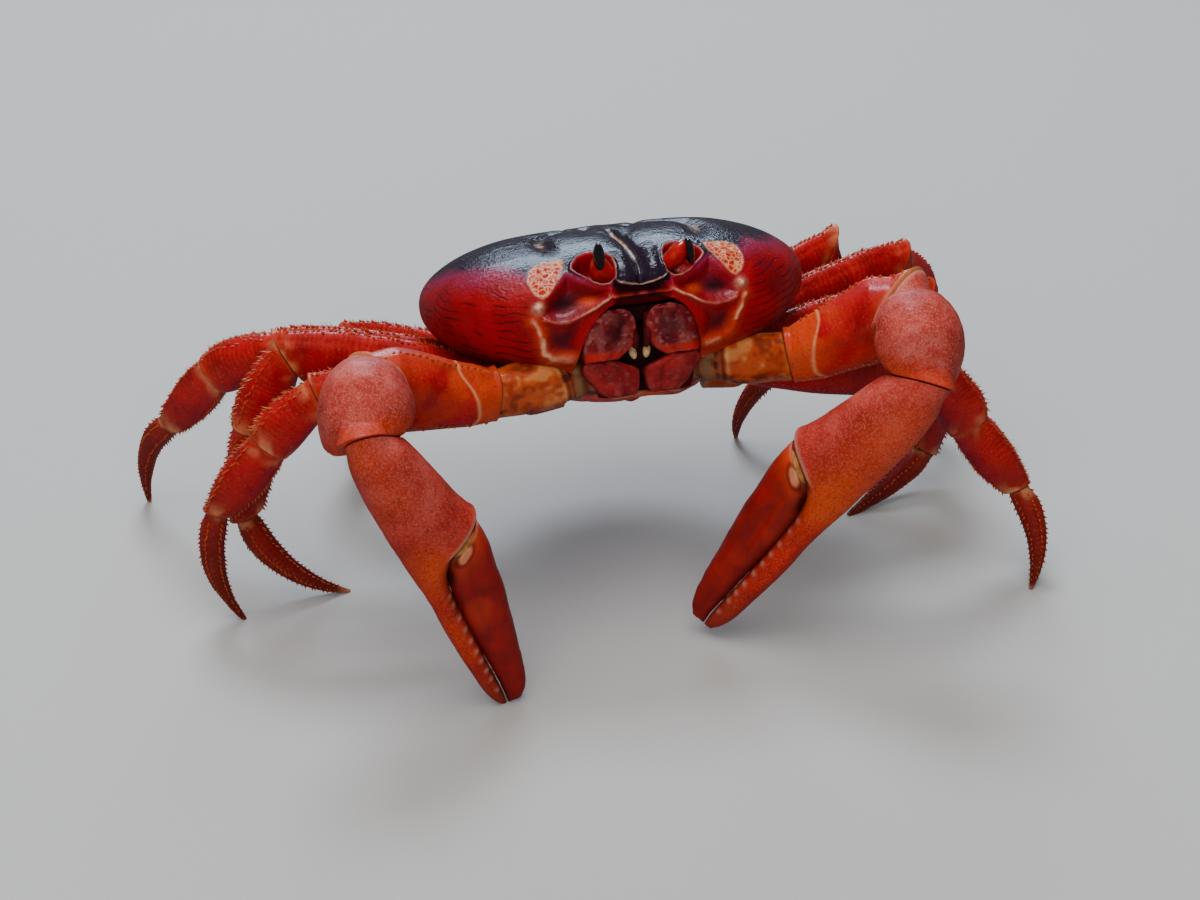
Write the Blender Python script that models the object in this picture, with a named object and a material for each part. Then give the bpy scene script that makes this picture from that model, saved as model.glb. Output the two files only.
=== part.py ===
# Red land crab, a still life-size model standing with both claws held in front.
# Sizes are millimetres and become metres where a mesh is written.
# Body frame: +X the crab's left, -Y its front, +Z up, zero inside the widest level of the shell.
# World frame: the floor is z = 0, and the crab faces -Y.

import math
import random

import bmesh
import bpy
import numpy as np
from mathutils import Matrix, Vector

MODEL_NAME = "land_crab"
MM = 0.001
JOINT_GAP = 0.3

# Driving sizes of the body
SHELL_WIDTH = 76.0
SHELL_HALF = SHELL_WIDTH / 2
STERNUM_FLOOR = -20.0
STERNUM_ROOF = -7.0
STERNUM_EDGE = -17.6
MOUTH_HALF_WIDTH = 12.8
MOUTH_TOP = -1.0
MOUTH_BACK = -20.0

# How the body is held over the floor
BODY_CENTRE = Vector((-0.5, -9.6, 60.9))
BODY_PITCH = math.radians(24.7)
BODY_ROLL = math.radians(1.4)

# Limb lengths along each limb, and half depth by half thickness of each piece
LIMBS = {
    "claw": {
        "hip": (17.0, -20.2, -14.2),
        "lengths": {"basis": 12.5, "merus": 26.0, "carpus": 18.4},
        "sizes": {"basis": (5.2, 4.0), "merus": (8.6, 6.2), "carpus": (11.4, 9.0)},
    },
    "leg_1": {
        "hip": (23.0, -10.5, -17.0),
        "lengths": {"merus": 39.0, "carpus": 15.0, "propodus": 19.0},
        "sizes": {"coxa": (4.6, 3.5), "merus": (5.9, 3.5), "carpus": (4.9, 3.6),
                  "propodus": (4.6, 3.0), "dactylus": (2.8, 2.3)},
    },
    "leg_2": {
        "hip": (25.0, -1.0, -16.0),
        "lengths": {"merus": 42.0, "carpus": 18.0, "propodus": 21.0},
        "sizes": {"coxa": (4.8, 3.6), "merus": (6.3, 3.7), "carpus": (5.2, 3.8),
                  "propodus": (4.8, 3.1), "dactylus": (2.9, 2.4)},
    },
    "leg_3": {
        "hip": (24.0, 9.0, -15.0),
        "lengths": {"merus": 42.0, "carpus": 17.0, "propodus": 20.0},
        "sizes": {"coxa": (4.7, 3.5), "merus": (6.1, 3.6), "carpus": (5.0, 3.7),
                  "propodus": (4.6, 3.0), "dactylus": (2.8, 2.3)},
    },
    "leg_4": {
        "hip": (20.0, 16.0, -15.5),
        "lengths": {"merus": 35.0, "carpus": 14.0, "propodus": 17.0},
        "sizes": {"coxa": (4.0, 3.2), "merus": (5.4, 3.3), "carpus": (4.4, 3.4),
                  "propodus": (4.2, 2.8), "dactylus": (2.6, 2.1)},
    },
}

# Pose of each limb: bearing and slope of every piece in degrees.
# Bearing 0 points straight out from the body and grows forward; slope grows upward.
POSES = {
    "right_claw": {"basis": (-2, -5), "merus": (4, 16), "carpus": (75, -3)},
    "left_claw": {"basis": (3, -6), "merus": (24, 30), "carpus": (96, -23)},
    "right_leg_1": {"merus": (-10, 4), "carpus": (-10, -49), "propodus": (-14, -54),
                    "dactylus": (-12, -98)},
    "left_leg_1": {"merus": (14, -4), "carpus": (5, -64), "propodus": (16, -54),
                   "dactylus": (92, -58)},
    "right_leg_2": {"merus": (-13, 12), "carpus": (-4, -67), "propodus": (-9, -81),
                    "dactylus": (-16, -137)},
    "left_leg_2": {"merus": (-10, 1), "carpus": (-13, -70), "propodus": (-8, -98),
                   "dactylus": (-18, -155)},
    "right_leg_3": {"merus": (-16, 8), "carpus": (-35, -31), "propodus": (-46, -52),
                    "dactylus": (-64, -66)},
    "left_leg_3": {"merus": (-9, 12), "carpus": (-38, -53), "propodus": (-42, -70),
                   "dactylus": (-22, -122)},
    "right_leg_4": {"merus": (-43, -5), "carpus": (-63, -74), "propodus": (47, -115),
                    "dactylus": (74, -155)},
    "left_leg_4": {"merus": (-16, 20), "carpus": (-29, -81), "propodus": (15, -122),
                   "dactylus": (50, -117)},
}

# The hands run from the wrist to a point near the floor; the side says where the movable finger is
HANDS = {
    "right_claw": {"tip": (-34.3, -56.8, 0.5), "side": (0.92, 0.02, 0.40), "heel": 0.84,
                   "on_floor": True},
    "left_claw": {"tip": (8.0, -46.8, 4.0), "side": (-0.60, 0.56, 0.57), "heel": 1.0,
                  "on_floor": False},
}
HAND_LENGTH = 66.0

# The wrist: the carpus closes round the narrow root of the hand like an egg
WRIST_RADIUS = 5.4
WRIST_SWELL = 13.5
WRIST_REACH = 9.0

# Fractions along a piece, with its upper and lower half depth and half thickness
FORMS = {
    "coxa": ((-0.1, 0.95, 0.95, 0.95), (0.5, 1.0, 1.0, 1.0), (0.8, 1.0, 1.0, 1.0),
             (1.0, 0.86, 0.86, 0.86)),
    "basis": ((-0.1, 0.80, 0.80, 0.85), (0.3, 1.0, 0.95, 1.0), (0.7, 1.0, 1.0, 1.0),
              (1.0, 0.92, 0.92, 0.95)),
    "merus": ((0.0, 0.68, 0.68, 0.76), (0.14, 0.86, 0.82, 0.95), (0.40, 1.0, 1.0, 1.0),
              (0.74, 1.0, 0.98, 0.98), (0.90, 0.88, 0.86, 0.90), (1.0, 0.72, 0.74, 0.80)),
    "carpus": ((0.0, 0.66, 0.70, 0.76), (0.28, 0.94, 0.84, 0.94), (0.62, 1.12, 0.92, 1.0),
               (0.86, 1.06, 0.92, 0.98), (1.0, 0.92, 0.86, 0.92)),
    "propodus": ((0.0, 0.88, 0.84, 0.90), (0.18, 1.0, 0.94, 0.98), (0.52, 1.0, 1.0, 1.0),
                 (0.84, 0.80, 0.80, 0.88), (1.0, 0.60, 0.60, 0.76)),
    "dactylus": ((0.0, 0.78, 0.78, 0.84), (0.14, 1.0, 1.0, 1.0), (0.40, 0.84, 0.84, 0.84),
                 (0.66, 0.60, 0.60, 0.62), (0.86, 0.36, 0.36, 0.38), (1.0, 0.16, 0.16, 0.20)),
    "hand_carpus": ((0.0, 0.52, 0.52, 0.56), (0.16, 0.84, 0.80, 0.84), (0.42, 1.0, 1.0, 1.0),
                    (0.68, 0.96, 0.96, 0.98), (0.86, 0.72, 0.74, 0.80), (1.0, 0.44, 0.46, 0.56)),
    "hand_merus": ((0.0, 0.62, 0.62, 0.70), (0.20, 0.80, 0.78, 0.88), (0.55, 0.96, 0.92, 1.0),
                   (0.84, 1.0, 1.0, 1.0), (1.0, 0.78, 0.80, 0.84)),
}
DACTYLUS_BOW = 0.12
STRAIGHTER_BOWS = {"left_leg_2": 0.04}

# Rows of spines on the walking legs: angle round the piece from its inner side (90 is its back),
# how many, first and last place along it, height above the surface and root radius
SPINE_ROWS = {
    "merus": ((90, 6, 0.30, 0.88, 0.55, 0.50),),
    "carpus": ((90, 2, 0.45, 0.75, 0.60, 0.50),),
    "propodus": ((62, 4, 0.22, 0.86, 0.75, 0.46), (118, 4, 0.30, 0.92, 0.75, 0.46),
                 (270, 4, 0.25, 0.86, 0.85, 0.46)),
    "dactylus": ((90, 5, 0.12, 0.78, 0.75, 0.42), (205, 5, 0.16, 0.80, 0.85, 0.42),
                 (335, 5, 0.20, 0.76, 0.85, 0.42)),
}
LEG_PARTS = ("merus", "carpus", "propodus", "dactylus")
SPINE_LEAN = 0.75
SPINE_ROOT = 0.5
SPINE_SIDES = 4
SPINE_CLEARANCE = 0.5
SPINE_VARY = 0.15

# Teeth on the facing edges of the two fingers: place along the hand, height and root radius
PALM_TEETH = ((36.5, 0.55, 0.85), (41.0, 0.45, 0.70), (46.0, 0.55, 0.75), (51.5, 0.45, 0.60))
FINGER_TEETH = ((38.8, 0.50, 0.75), (43.5, 0.50, 0.70), (48.8, 0.50, 0.65), (54.5, 0.40, 0.55))
LEG_SIDES = 10
CLAW_SIDES = 14

# The hand in its own plane: along, low edge, along, high edge, half thickness
PALM_RINGS = (
    (-5.0, -4.0, -5.0, 4.0, 4.0),
    (0.0, -4.6, 0.0, 5.0, 4.9),
    (4.0, -5.9, 3.5, 7.0, 5.8),
    (11.0, -6.3, 10.0, 8.5, 6.3),
    (19.0, -6.2, 18.5, 10.3, 6.3),
    (25.5, -5.9, 26.0, 11.5, 5.5),
    (30.0, -5.7, 30.6, 3.2, 4.5),
    (35.0, -5.3, 35.0, 0.4, 3.5),
    (43.0, -4.8, 43.0, -0.3, 3.0),
    (52.0, -4.6, 52.0, -0.5, 2.6),
    (59.5, -4.1, 59.5, -0.6, 2.1),
    (63.8, -3.4, 63.8, -0.7, 1.5),
    (66.2, -2.4, 66.2, -0.9, 0.7),
)
FINGER_RINGS = (
    (31.5, 3.2, 27.0, 11.3, 4.1),
    (34.4, 1.6, 32.0, 11.2, 4.0),
    (43.0, 0.5, 42.6, 9.0, 3.4),
    (52.0, 0.2, 51.6, 7.0, 2.9),
    (59.5, 0.0, 59.2, 5.3, 2.4),
    (63.8, -0.2, 63.8, 3.9, 1.7),
    (66.2, -0.3, 66.2, 2.3, 0.8),
)

# Cross-sections of the shell: y, half width, top, widest level, bottom
SHELL_STATIONS = (
    (-28.0, 10.5, 0.5, -3.5, -8.0),
    (-26.6, 19.5, 4.8, -2.0, -11.5),
    (-23.5, 27.0, 7.6, -1.0, -13.4),
    (-18.5, 32.6, 9.7, 0.0, -14.4),
    (-11.0, 36.6, 11.2, 0.0, -14.4),
    (-2.0, SHELL_HALF, 12.0, 0.0, -13.8),
    (8.0, 37.0, 11.6, 0.0, -12.5),
    (17.0, 33.0, 9.8, -0.5, -11.5),
    (24.5, 26.6, 6.6, -1.5, -10.5),
    (30.0, 19.5, 2.8, -3.0, -9.5),
    (33.5, 13.0, -1.2, -4.5, -8.5),
)
SHELL_SIDES = 32
SHELL_FULLNESS = 2.3

# Plan of the plate between the legs: half width and y at each corner
STERNUM_PLAN = ((7.0, -23.0), (13.2, -14.8), (16.0, -6.0), (16.0, 4.0), (14.2, 12.8),
                (10.0, 21.0), (4.0, 24.5))

# The folded tail below the body: y, z and half width along its middle line
TAIL_LINE = ((33.6, -3.5, 9.5), (35.2, -9.0, 10.0), (32.0, -15.5, 8.5), (24.5, -21.0, 6.5),
             (12.0, -21.6, 4.6), (0.0, -21.6, 3.4), (-9.0, -21.6, 1.8))
TAIL_THICKNESS = 2.0

# The hollow round each eye, and each eye's middle line with its radius
ORBIT_CENTRE = (9.1, -23.8, 7.5)
ORBIT_RADII = (4.5, 4.2, 3.7)
EYE_LINES = {
    "right": ((5.8, -22.0, 3.2, 1.7), (6.9, -23.8, 4.6, 2.2), (7.6, -24.8, 6.4, 2.5),
              (8.0, -25.0, 8.8, 2.3), (8.0, -25.0, 10.8, 1.5), (7.9, -25.0, 11.8, 0.6)),
    "left": ((5.4, -22.0, 4.0, 1.7), (6.4, -23.8, 5.4, 2.2), (7.8, -24.8, 7.0, 2.6),
             (9.4, -25.0, 8.4, 2.4), (10.5, -25.0, 9.9, 1.6), (11.0, -25.0, 10.7, 0.6)),
}

COLOURS = {
    "shell": ((0.16, 0.012, 0.03, 1.0), 0.22),
    "under": ((0.42, 0.06, 0.05, 1.0), 0.45),
    "mouth": ((0.30, 0.035, 0.03, 1.0), 0.50),
    "eye": ((0.45, 0.012, 0.010, 1.0), 0.25),
    "leg": ((0.55, 0.020, 0.012, 1.0), 0.28),
    "claw": ((0.56, 0.075, 0.050, 1.0), 0.42),
    "finger": ((0.36, 0.018, 0.012, 1.0), 0.32),
}


# Small helpers

def clear_scene():
    for item in list(bpy.data.objects):
        bpy.data.objects.remove(item, do_unlink=True)


def make_collection(name):
    group = bpy.data.collections.new(name)
    bpy.context.scene.collection.children.link(group)
    return group


def make_material(name, finish):
    colour, roughness = COLOURS[finish]
    material = bpy.data.materials.new(name)
    material.use_nodes = True
    shader = material.node_tree.nodes["Principled BSDF"]
    shader.inputs["Base Color"].default_value = colour
    shader.inputs["Roughness"].default_value = roughness
    shader.inputs["Metallic"].default_value = 0.0
    return material


def body_matrix():
    turn = Matrix.Rotation(BODY_ROLL, 4, "Y") @ Matrix.Rotation(-BODY_PITCH, 4, "X")
    return Matrix.Translation(BODY_CENTRE) @ turn


def in_world(point):
    return body_matrix() @ Vector(point)


def heading(bearing, slope, sign):
    b, s = math.radians(bearing), math.radians(slope)
    return Vector((sign * math.cos(b) * math.cos(s), -math.sin(b) * math.cos(s), math.sin(s)))


def back_of(bearing, slope, sign):
    b, s = math.radians(bearing), math.radians(slope)
    return Vector((-sign * math.cos(b) * math.sin(s), math.sin(b) * math.sin(s), math.cos(s)))


def square_to(vector, axis):
    return (vector - axis * vector.dot(axis)).normalized()


def ring_points(centre, up, side, high, low, half, count, fullness=2.3):
    points = []
    for k in range(count):
        angle = 2 * math.pi * (k + 0.5) / count
        c, s = math.cos(angle), math.sin(angle)
        across = math.copysign(abs(c) ** (2 / fullness), c) * half
        rise = math.copysign(abs(s) ** (2 / fullness), s) * (high if s > 0 else low)
        points.append(centre + up * rise + side * across)
    return points


def loft(name, rings, finish, group):
    bm = bmesh.new()
    rows = [[bm.verts.new(point) for point in ring] for ring in rings]
    count = len(rows[0])
    for first, second in zip(rows, rows[1:]):
        for k in range(count):
            j = (k + 1) % count
            bm.faces.new((first[k], first[j], second[j], second[k]))
    bm.faces.new(list(reversed(rows[0])))
    bm.faces.new(rows[-1])
    bmesh.ops.triangulate(bm, faces=bm.faces)
    bmesh.ops.recalc_face_normals(bm, faces=bm.faces)
    return object_from(name, bm, finish, group)


def object_from(name, bm, finish, group):
    mesh = bpy.data.meshes.new(name)
    bm.to_mesh(mesh)
    bm.free()
    mesh.materials.append(make_material(name + "_finish", finish))
    item = bpy.data.objects.new(name, mesh)
    group.objects.link(item)
    return item


def slice_off(item, point, normal):
    # Keeps what lies behind the plane and closes the cut.
    bm = bmesh.new()
    bm.from_mesh(item.data)
    parts = bm.verts[:] + bm.edges[:] + bm.faces[:]
    bmesh.ops.bisect_plane(bm, geom=parts, plane_co=point, plane_no=normal, clear_outer=True)
    bmesh.ops.holes_fill(bm, edges=bm.edges, sides=0)
    bmesh.ops.remove_doubles(bm, verts=bm.verts, dist=0.03)
    bmesh.ops.triangulate(bm, faces=bm.faces)
    bmesh.ops.recalc_face_normals(bm, faces=bm.faces)
    bm.to_mesh(item.data)
    bm.free()


def part_at_joint(first, second, joint, first_way, second_way):
    # Mitres two pieces on the plane that halves their bend, with the gap between them.
    normal = (first_way + second_way).normalized()
    slice_off(first, joint - normal * JOINT_GAP / 2, normal)
    slice_off(second, joint + normal * JOINT_GAP / 2, -normal)


def close_round(item, joint, normal):
    # Draws the end of a piece in to a narrow neck at a joint.
    for vert in item.data.vertices:
        depth = max((joint - vert.co).dot(normal), 0.0)
        share = min(depth / WRIST_REACH, 1.0)
        limit = WRIST_RADIUS + (WRIST_SWELL - WRIST_RADIUS) * math.sqrt(1 - (1 - share) ** 2)
        centre = joint - normal * depth
        reach = (vert.co - centre).length
        if share < 1.0 and reach > limit:
            vert.co = centre + (vert.co - centre) * (limit / reach)


def swollen_copy(item, amount, group):
    bm = bmesh.new()
    bm.from_mesh(item.data)
    bm.normal_update()
    shifts = {vert: vert.normal * amount for vert in bm.verts}
    for vert, shift in shifts.items():
        vert.co += shift
    mesh = bpy.data.meshes.new(item.name + "_swollen")
    bm.to_mesh(mesh)
    bm.free()
    copy = bpy.data.objects.new(item.name + "_swollen", mesh)
    copy.hide_render = True
    copy.display_type = "WIRE"
    group.objects.link(copy)
    return copy


def keep_largest(mesh):
    bm = bmesh.new()
    bm.from_mesh(mesh)
    unseen = set(bm.faces)
    shells = []
    while unseen:
        start = unseen.pop()
        shell, queue = [start], [start]
        while queue:
            for edge in queue.pop().edges:
                for face in edge.link_faces:
                    if face in unseen:
                        unseen.remove(face)
                        shell.append(face)
                        queue.append(face)
        shells.append(shell)
    shells.sort(key=lambda shell: sum(face.calc_area() for face in shell))
    loose = [face for shell in shells[:-1] for face in shell]
    bmesh.ops.delete(bm, geom=loose, context="FACES")
    bmesh.ops.remove_doubles(bm, verts=bm.verts, dist=0.02)
    bmesh.ops.triangulate(bm, faces=bm.faces)
    bmesh.ops.recalc_face_normals(bm, faces=bm.faces)
    bm.to_mesh(mesh)
    bm.free()


def combine(item, others, operation, solver="EXACT"):
    # One Boolean on a collection of closed pieces, applied, with the pieces removed.
    group = bpy.data.collections.new(item.name + "_others")
    bpy.context.scene.collection.children.link(group)
    for other in others:
        for owner in list(other.users_collection):
            owner.objects.unlink(other)
        group.objects.link(other)
    boolean = item.modifiers.new("join", "BOOLEAN")
    boolean.operation = operation
    boolean.operand_type = "COLLECTION"
    boolean.collection = group
    boolean.solver = solver
    depsgraph = bpy.context.evaluated_depsgraph_get()
    mesh = bpy.data.meshes.new_from_object(item.evaluated_get(depsgraph))
    item.modifiers.clear()
    old = item.data
    finish = old.materials[0] if old.materials else None
    mesh.materials.clear()
    if finish:
        mesh.materials.append(finish)
    item.data = mesh
    bpy.data.meshes.remove(old)
    for other in list(group.objects):
        bpy.data.objects.remove(other, do_unlink=True)
    bpy.data.collections.remove(group)
    keep_largest(item.data)


# Limbs

def limb_piece(name, start, way, back, length, size, form, finish, group, sides, lead=0.0, bow=0.0):
    depth, thick = size
    side = way.cross(back).normalized()
    rings = []
    stations = FORMS[form]
    if lead:
        first = stations[0]
        stations = ((first[0] - lead,) + first[1:],) + stations
        last = stations[-1]
        if form != "dactylus":
            stations = stations + ((last[0] + lead,) + last[1:],)
    for along, high, low, half in stations:
        t = min(max(along, 0.0), 1.0)
        centre = start + way * (along * length) + back * (4 * t * (1 - t) * bow * length)
        rings.append(ring_points(centre, back, side, high * depth, low * depth, half * thick,
                                 sides))
    return loft(name, rings, finish, group)


def rest_on_floor(item):
    # Cuts the tip level, so that it stands on a small flat.
    slice_off(item, Vector((0, 0, 0)), Vector((0, 0, -1)))


def form_at(form, place):
    # The section factors of a form at a place along the piece.
    stations = FORMS[form]
    for first, second in zip(stations, stations[1:]):
        if first[0] <= place <= second[0]:
            share = (place - first[0]) / (second[0] - first[0])
            return [a + (b - a) * share for a, b in zip(first[1:], second[1:])]
    return list(stations[-1][1:])


def make_spine(name, root, way, height, radius, group):
    # A pointed cone whose root sits well inside the piece it grows from.
    up = square_to(Vector((0.31, 0.52, 0.80)), way)
    side = way.cross(up)
    bm = bmesh.new()
    wide = radius * (height + SPINE_ROOT) / height
    foot = root - way * SPINE_ROOT
    ring = [bm.verts.new(point)
            for point in ring_points(foot, up, side, wide, wide, wide, SPINE_SIDES, 2.0)]
    tip = bm.verts.new(root + way * height)
    for first, second in zip(ring, ring[1:] + ring[:1]):
        bm.faces.new((first, second, tip))
    bm.faces.new(list(reversed(ring)))
    bmesh.ops.triangulate(bm, faces=bm.faces)
    bmesh.ops.recalc_face_normals(bm, faces=bm.faces)
    return object_from(name, bm, "leg", group)


def leg_spines(item, frame, form, group):
    start, way, back, length, size, bow = frame
    side = way.cross(back).normalized()
    depth, thick = size
    spines = []
    for angle, count, first, last, height, radius in SPINE_ROWS[form]:
        for k in range(count):
            place = first + (last - first) * (k + random.uniform(-0.2, 0.2)) / (count - 1)
            place = min(max(place, first), last)
            high, low, half = form_at(form, place)
            c, s = math.cos(math.radians(angle)), math.sin(math.radians(angle))
            reach = (high if s > 0 else low) * depth
            centre = start + way * (place * length)
            centre += back * (4 * place * (1 - place) * bow * length)
            root = centre + side * (c * half * thick) + back * (s * reach)
            out = (side * (c * reach) + back * (s * half * thick)).normalized()
            point = (out + way * SPINE_LEAN).normalized()
            vary = 1 + random.uniform(-SPINE_VARY, SPINE_VARY)
            if (root + point * height * vary).z < SPINE_CLEARANCE:
                continue
            spines.append(make_spine(item.name + "_spine", root - out * 0.12, point,
                                     height * vary, radius, group))
    combine(item, spines, "UNION")


def make_leg(side_name, limb, group, cutters):
    sign = 1 if side_name == "left" else -1
    name = side_name + "_" + limb
    plan = LIMBS[limb]
    pose = POSES[name]
    hip_body = Vector((sign * plan["hip"][0], plan["hip"][1], plan["hip"][2]))
    hip = in_world(hip_body)
    root_body, wall = sternum_wall(hip_body, sign)
    root = in_world(root_body)
    coxa_way = (hip - root).normalized()
    coxa_back = square_to(body_matrix().to_3x3() @ Vector((0, 0, 1)), coxa_way)
    coxa_length = (hip - root).length
    coxa = limb_piece(name + "_coxa", root, coxa_way, coxa_back, coxa_length,
                      plan["sizes"]["coxa"], "coxa", "under", group, LEG_SIDES, lead=0.4)
    wall_world = body_matrix().to_3x3() @ wall
    slice_off(coxa, root + wall_world * JOINT_GAP, -wall_world)
    pieces = [coxa]
    joints = [hip]
    ways = [coxa_way]
    frames = []
    back = None
    bend = STRAIGHTER_BOWS.get(name, DACTYLUS_BOW)
    for part in LEG_PARTS:
        bearing, slope = pose[part]
        way = heading(bearing, slope, sign)
        back = square_to(back, way) if back else back_of(bearing, slope, sign)
        start = joints[-1]
        if part == "dactylus":
            length = start.z / -way.z
            piece = limb_piece(name + "_" + part, start, way, back, length * 1.02,
                               plan["sizes"][part], part, "leg", group, LEG_SIDES,
                               lead=0.22, bow=bend)
            rest_on_floor(piece)
        else:
            length = plan["lengths"][part]
            lead = 8.0 / length
            piece = limb_piece(name + "_" + part, start, way, back, length,
                               plan["sizes"][part], part, "leg", group, LEG_SIDES, lead=lead)
        frames.append((start, way, back, length, plan["sizes"][part],
                       bend if part == "dactylus" else 0.0))
        joints.append(start + way * length)
        ways.append(way)
        pieces.append(piece)
    for k in range(len(pieces) - 1):
        part_at_joint(pieces[k], pieces[k + 1], joints[k], ways[k], ways[k + 1])
    for piece, frame, part in zip(pieces[1:], frames, LEG_PARTS):
        leg_spines(piece, frame, part, cutters)
    return pieces


def hand_piece(name, wrist, way, up, side, scale, stations, finish, group, heel=1.0):
    rings = []
    for low_at, low, high_at, high, half in stations:
        bottom = wrist + way * low_at * scale + up * low * heel
        top = wrist + way * high_at * scale + up * high
        centre = (bottom + top) / 2
        reach = (top - bottom) / 2
        rings.append(ring_points(centre, reach.normalized(), side, reach.length, reach.length,
                                 half, CLAW_SIDES, 2.2))
    return loft(name, rings, finish, group)


def hand_teeth(item, teeth, stations, sign, frame, group):
    # Blunt teeth on the edge that faces the other finger.
    wrist, way, up, side, scale = frame
    cones = []
    for place, height, radius in teeth:
        for first, second in zip(stations, stations[1:]):
            edge = (0, 1) if sign < 0 else (2, 3)
            if first[edge[0]] <= place <= second[edge[0]]:
                share = (place - first[edge[0]]) / (second[edge[0]] - first[edge[0]])
                level = first[edge[1]] + (second[edge[1]] - first[edge[1]]) * share
        root = wrist + way * place * scale + up * (level - sign * 0.1)
        cones.append(make_spine(item.name + "_tooth", root, up * sign, height, radius, group))
    combine(item, cones, "UNION")


def make_claw(side_name, group, cutters):
    sign = 1 if side_name == "left" else -1
    name = side_name + "_claw"
    plan = LIMBS["claw"]
    pose = POSES[name]
    hip_body = Vector((sign * plan["hip"][0], plan["hip"][1], plan["hip"][2]))
    root_body, wall = sternum_wall(hip_body, sign)
    root = in_world(root_body)
    joints = [in_world(hip_body)]
    ways = []
    pieces = []
    for part in ("basis", "merus", "carpus"):
        bearing, slope = pose[part]
        way = heading(bearing, slope, sign)
        back = square_to(Vector((0, 0, 1)), way)
        start = joints[-1]
        length = plan["lengths"][part]
        reach = length
        form = "basis"
        if part == "basis":
            # The first piece runs on inward to the body wall
            start = root
            way = (joints[0] + heading(bearing, slope, sign) * length - root)
            reach = way.length
            way.normalize()
            back = square_to(Vector((0, 0, 1)), way)
        else:
            form = "hand_" + part
        piece = limb_piece(name + "_" + part, start, way, back, reach, plan["sizes"][part],
                           form, "under" if part == "basis" else "claw", group, CLAW_SIDES,
                           lead=9.0 / reach)
        joints.append(start + way * reach)
        ways.append(way)
        pieces.append(piece)
    wall_world = body_matrix().to_3x3() @ wall
    slice_off(pieces[0], root + wall_world * JOINT_GAP, -wall_world)
    wrist = joints[-1]
    hand = HANDS[name]
    way = (Vector(hand["tip"]) - wrist)
    scale = way.length / HAND_LENGTH
    way.normalize()
    up = square_to(Vector(hand["side"]), way)
    side = way.cross(up)
    palm = hand_piece(name + "_palm", wrist, way, up, side, scale, PALM_RINGS, "claw", group,
                      hand["heel"])
    finger = hand_piece(name + "_finger", wrist, way, up, side, scale, FINGER_RINGS, "finger",
                        group)
    if hand["on_floor"]:
        rest_on_floor(palm)
    hand_teeth(palm, PALM_TEETH, PALM_RINGS, 1, (wrist, way, up, side, scale), cutters)
    hand_teeth(finger, FINGER_TEETH, FINGER_RINGS, -1, (wrist, way, up, side, scale), cutters)
    ways.append(way)
    chain = pieces + [palm]
    for k in range(3):
        part_at_joint(chain[k], chain[k + 1], joints[k + 1], ways[k], ways[k + 1])
    close_round(chain[2], wrist, (ways[2] + ways[3]).normalized())
    return chain + [finger]


# Body

def sternum_wall(hip, sign):
    # The side of the plate that this limb grows from: a point on it and its outward direction.
    for (w0, y0), (w1, y1) in zip(STERNUM_PLAN, STERNUM_PLAN[1:]):
        if y0 <= hip.y <= y1 or (w0, y0) == STERNUM_PLAN[-2]:
            break
    along = Vector((w1 - w0, y1 - y0, 0)).normalized()
    outward = Vector((along.y, -along.x, 0))
    start = Vector((w0, y0, 0))
    middle = start + along * ((Vector((w1, y1, 0)) - start).length / 2)
    root = Vector((sign * middle.x, middle.y, hip.z + 0.5))
    return root, Vector((sign * outward.x, outward.y, 0)).normalized()


def make_shell(group, cutters):
    rings = []
    for y, half, top, level, bottom in SHELL_STATIONS:
        centre = Vector((0, y, level))
        ring = ring_points(centre, Vector((0, 0, 1)), Vector((1, 0, 0)), top - level,
                           level - bottom, half, SHELL_SIDES, SHELL_FULLNESS)
        rings.append([in_world(point) for point in ring])
    shell = loft("carapace", rings, "shell", group)
    # A hollow for the mouth parts and one for each eye
    hollows = [mouth_cutter(cutters)]
    hollows += [orbit_cutter(sign, cutters) for sign in (1, -1)]
    combine(shell, hollows, "DIFFERENCE")
    return shell


def box_in_body(name, low, high, group):
    bm = bmesh.new()
    bmesh.ops.create_cube(bm, size=1.0)
    low, high = Vector(low), Vector(high)
    for vert in bm.verts:
        spot = Vector((vert.co[k] * (high - low)[k] + (low + high)[k] / 2 for k in range(3)))
        vert.co = in_world(spot)
    bmesh.ops.recalc_face_normals(bm, faces=bm.faces)
    return object_from(name, bm, "under", group)


def mouth_cutter(cutters):
    return box_in_body("mouth_cutter", (-MOUTH_HALF_WIDTH, -40, -30),
                       (MOUTH_HALF_WIDTH, MOUTH_BACK, MOUTH_TOP), cutters)


def orbit_cutter(sign, cutters):
    bm = bmesh.new()
    bmesh.ops.create_uvsphere(bm, u_segments=14, v_segments=8, radius=1.0)
    centre = Vector((sign * ORBIT_CENTRE[0], *ORBIT_CENTRE[1:]))
    for vert in bm.verts:
        spot = Vector(value * radius for value, radius in zip(vert.co, ORBIT_RADII))
        vert.co = in_world(spot + centre)
    bmesh.ops.recalc_face_normals(bm, faces=bm.faces)
    return object_from("orbit_cutter", bm, "under", cutters)


def make_eye(side_name, shell, group, cutters):
    sign = 1 if side_name == "left" else -1
    rings = []
    for x, y, z, radius in EYE_LINES[side_name]:
        ring = ring_points(Vector((sign * x, y, z)), Vector((0, 1, 0)), Vector((1, 0, 0)),
                           radius, radius, radius, 10, 2.0)
        rings.append([in_world(point) for point in ring])
    eye = loft(side_name + "_eye", rings, "eye", group)
    combine(eye, [swollen_copy(shell, JOINT_GAP, cutters)], "DIFFERENCE")
    return eye


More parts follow.
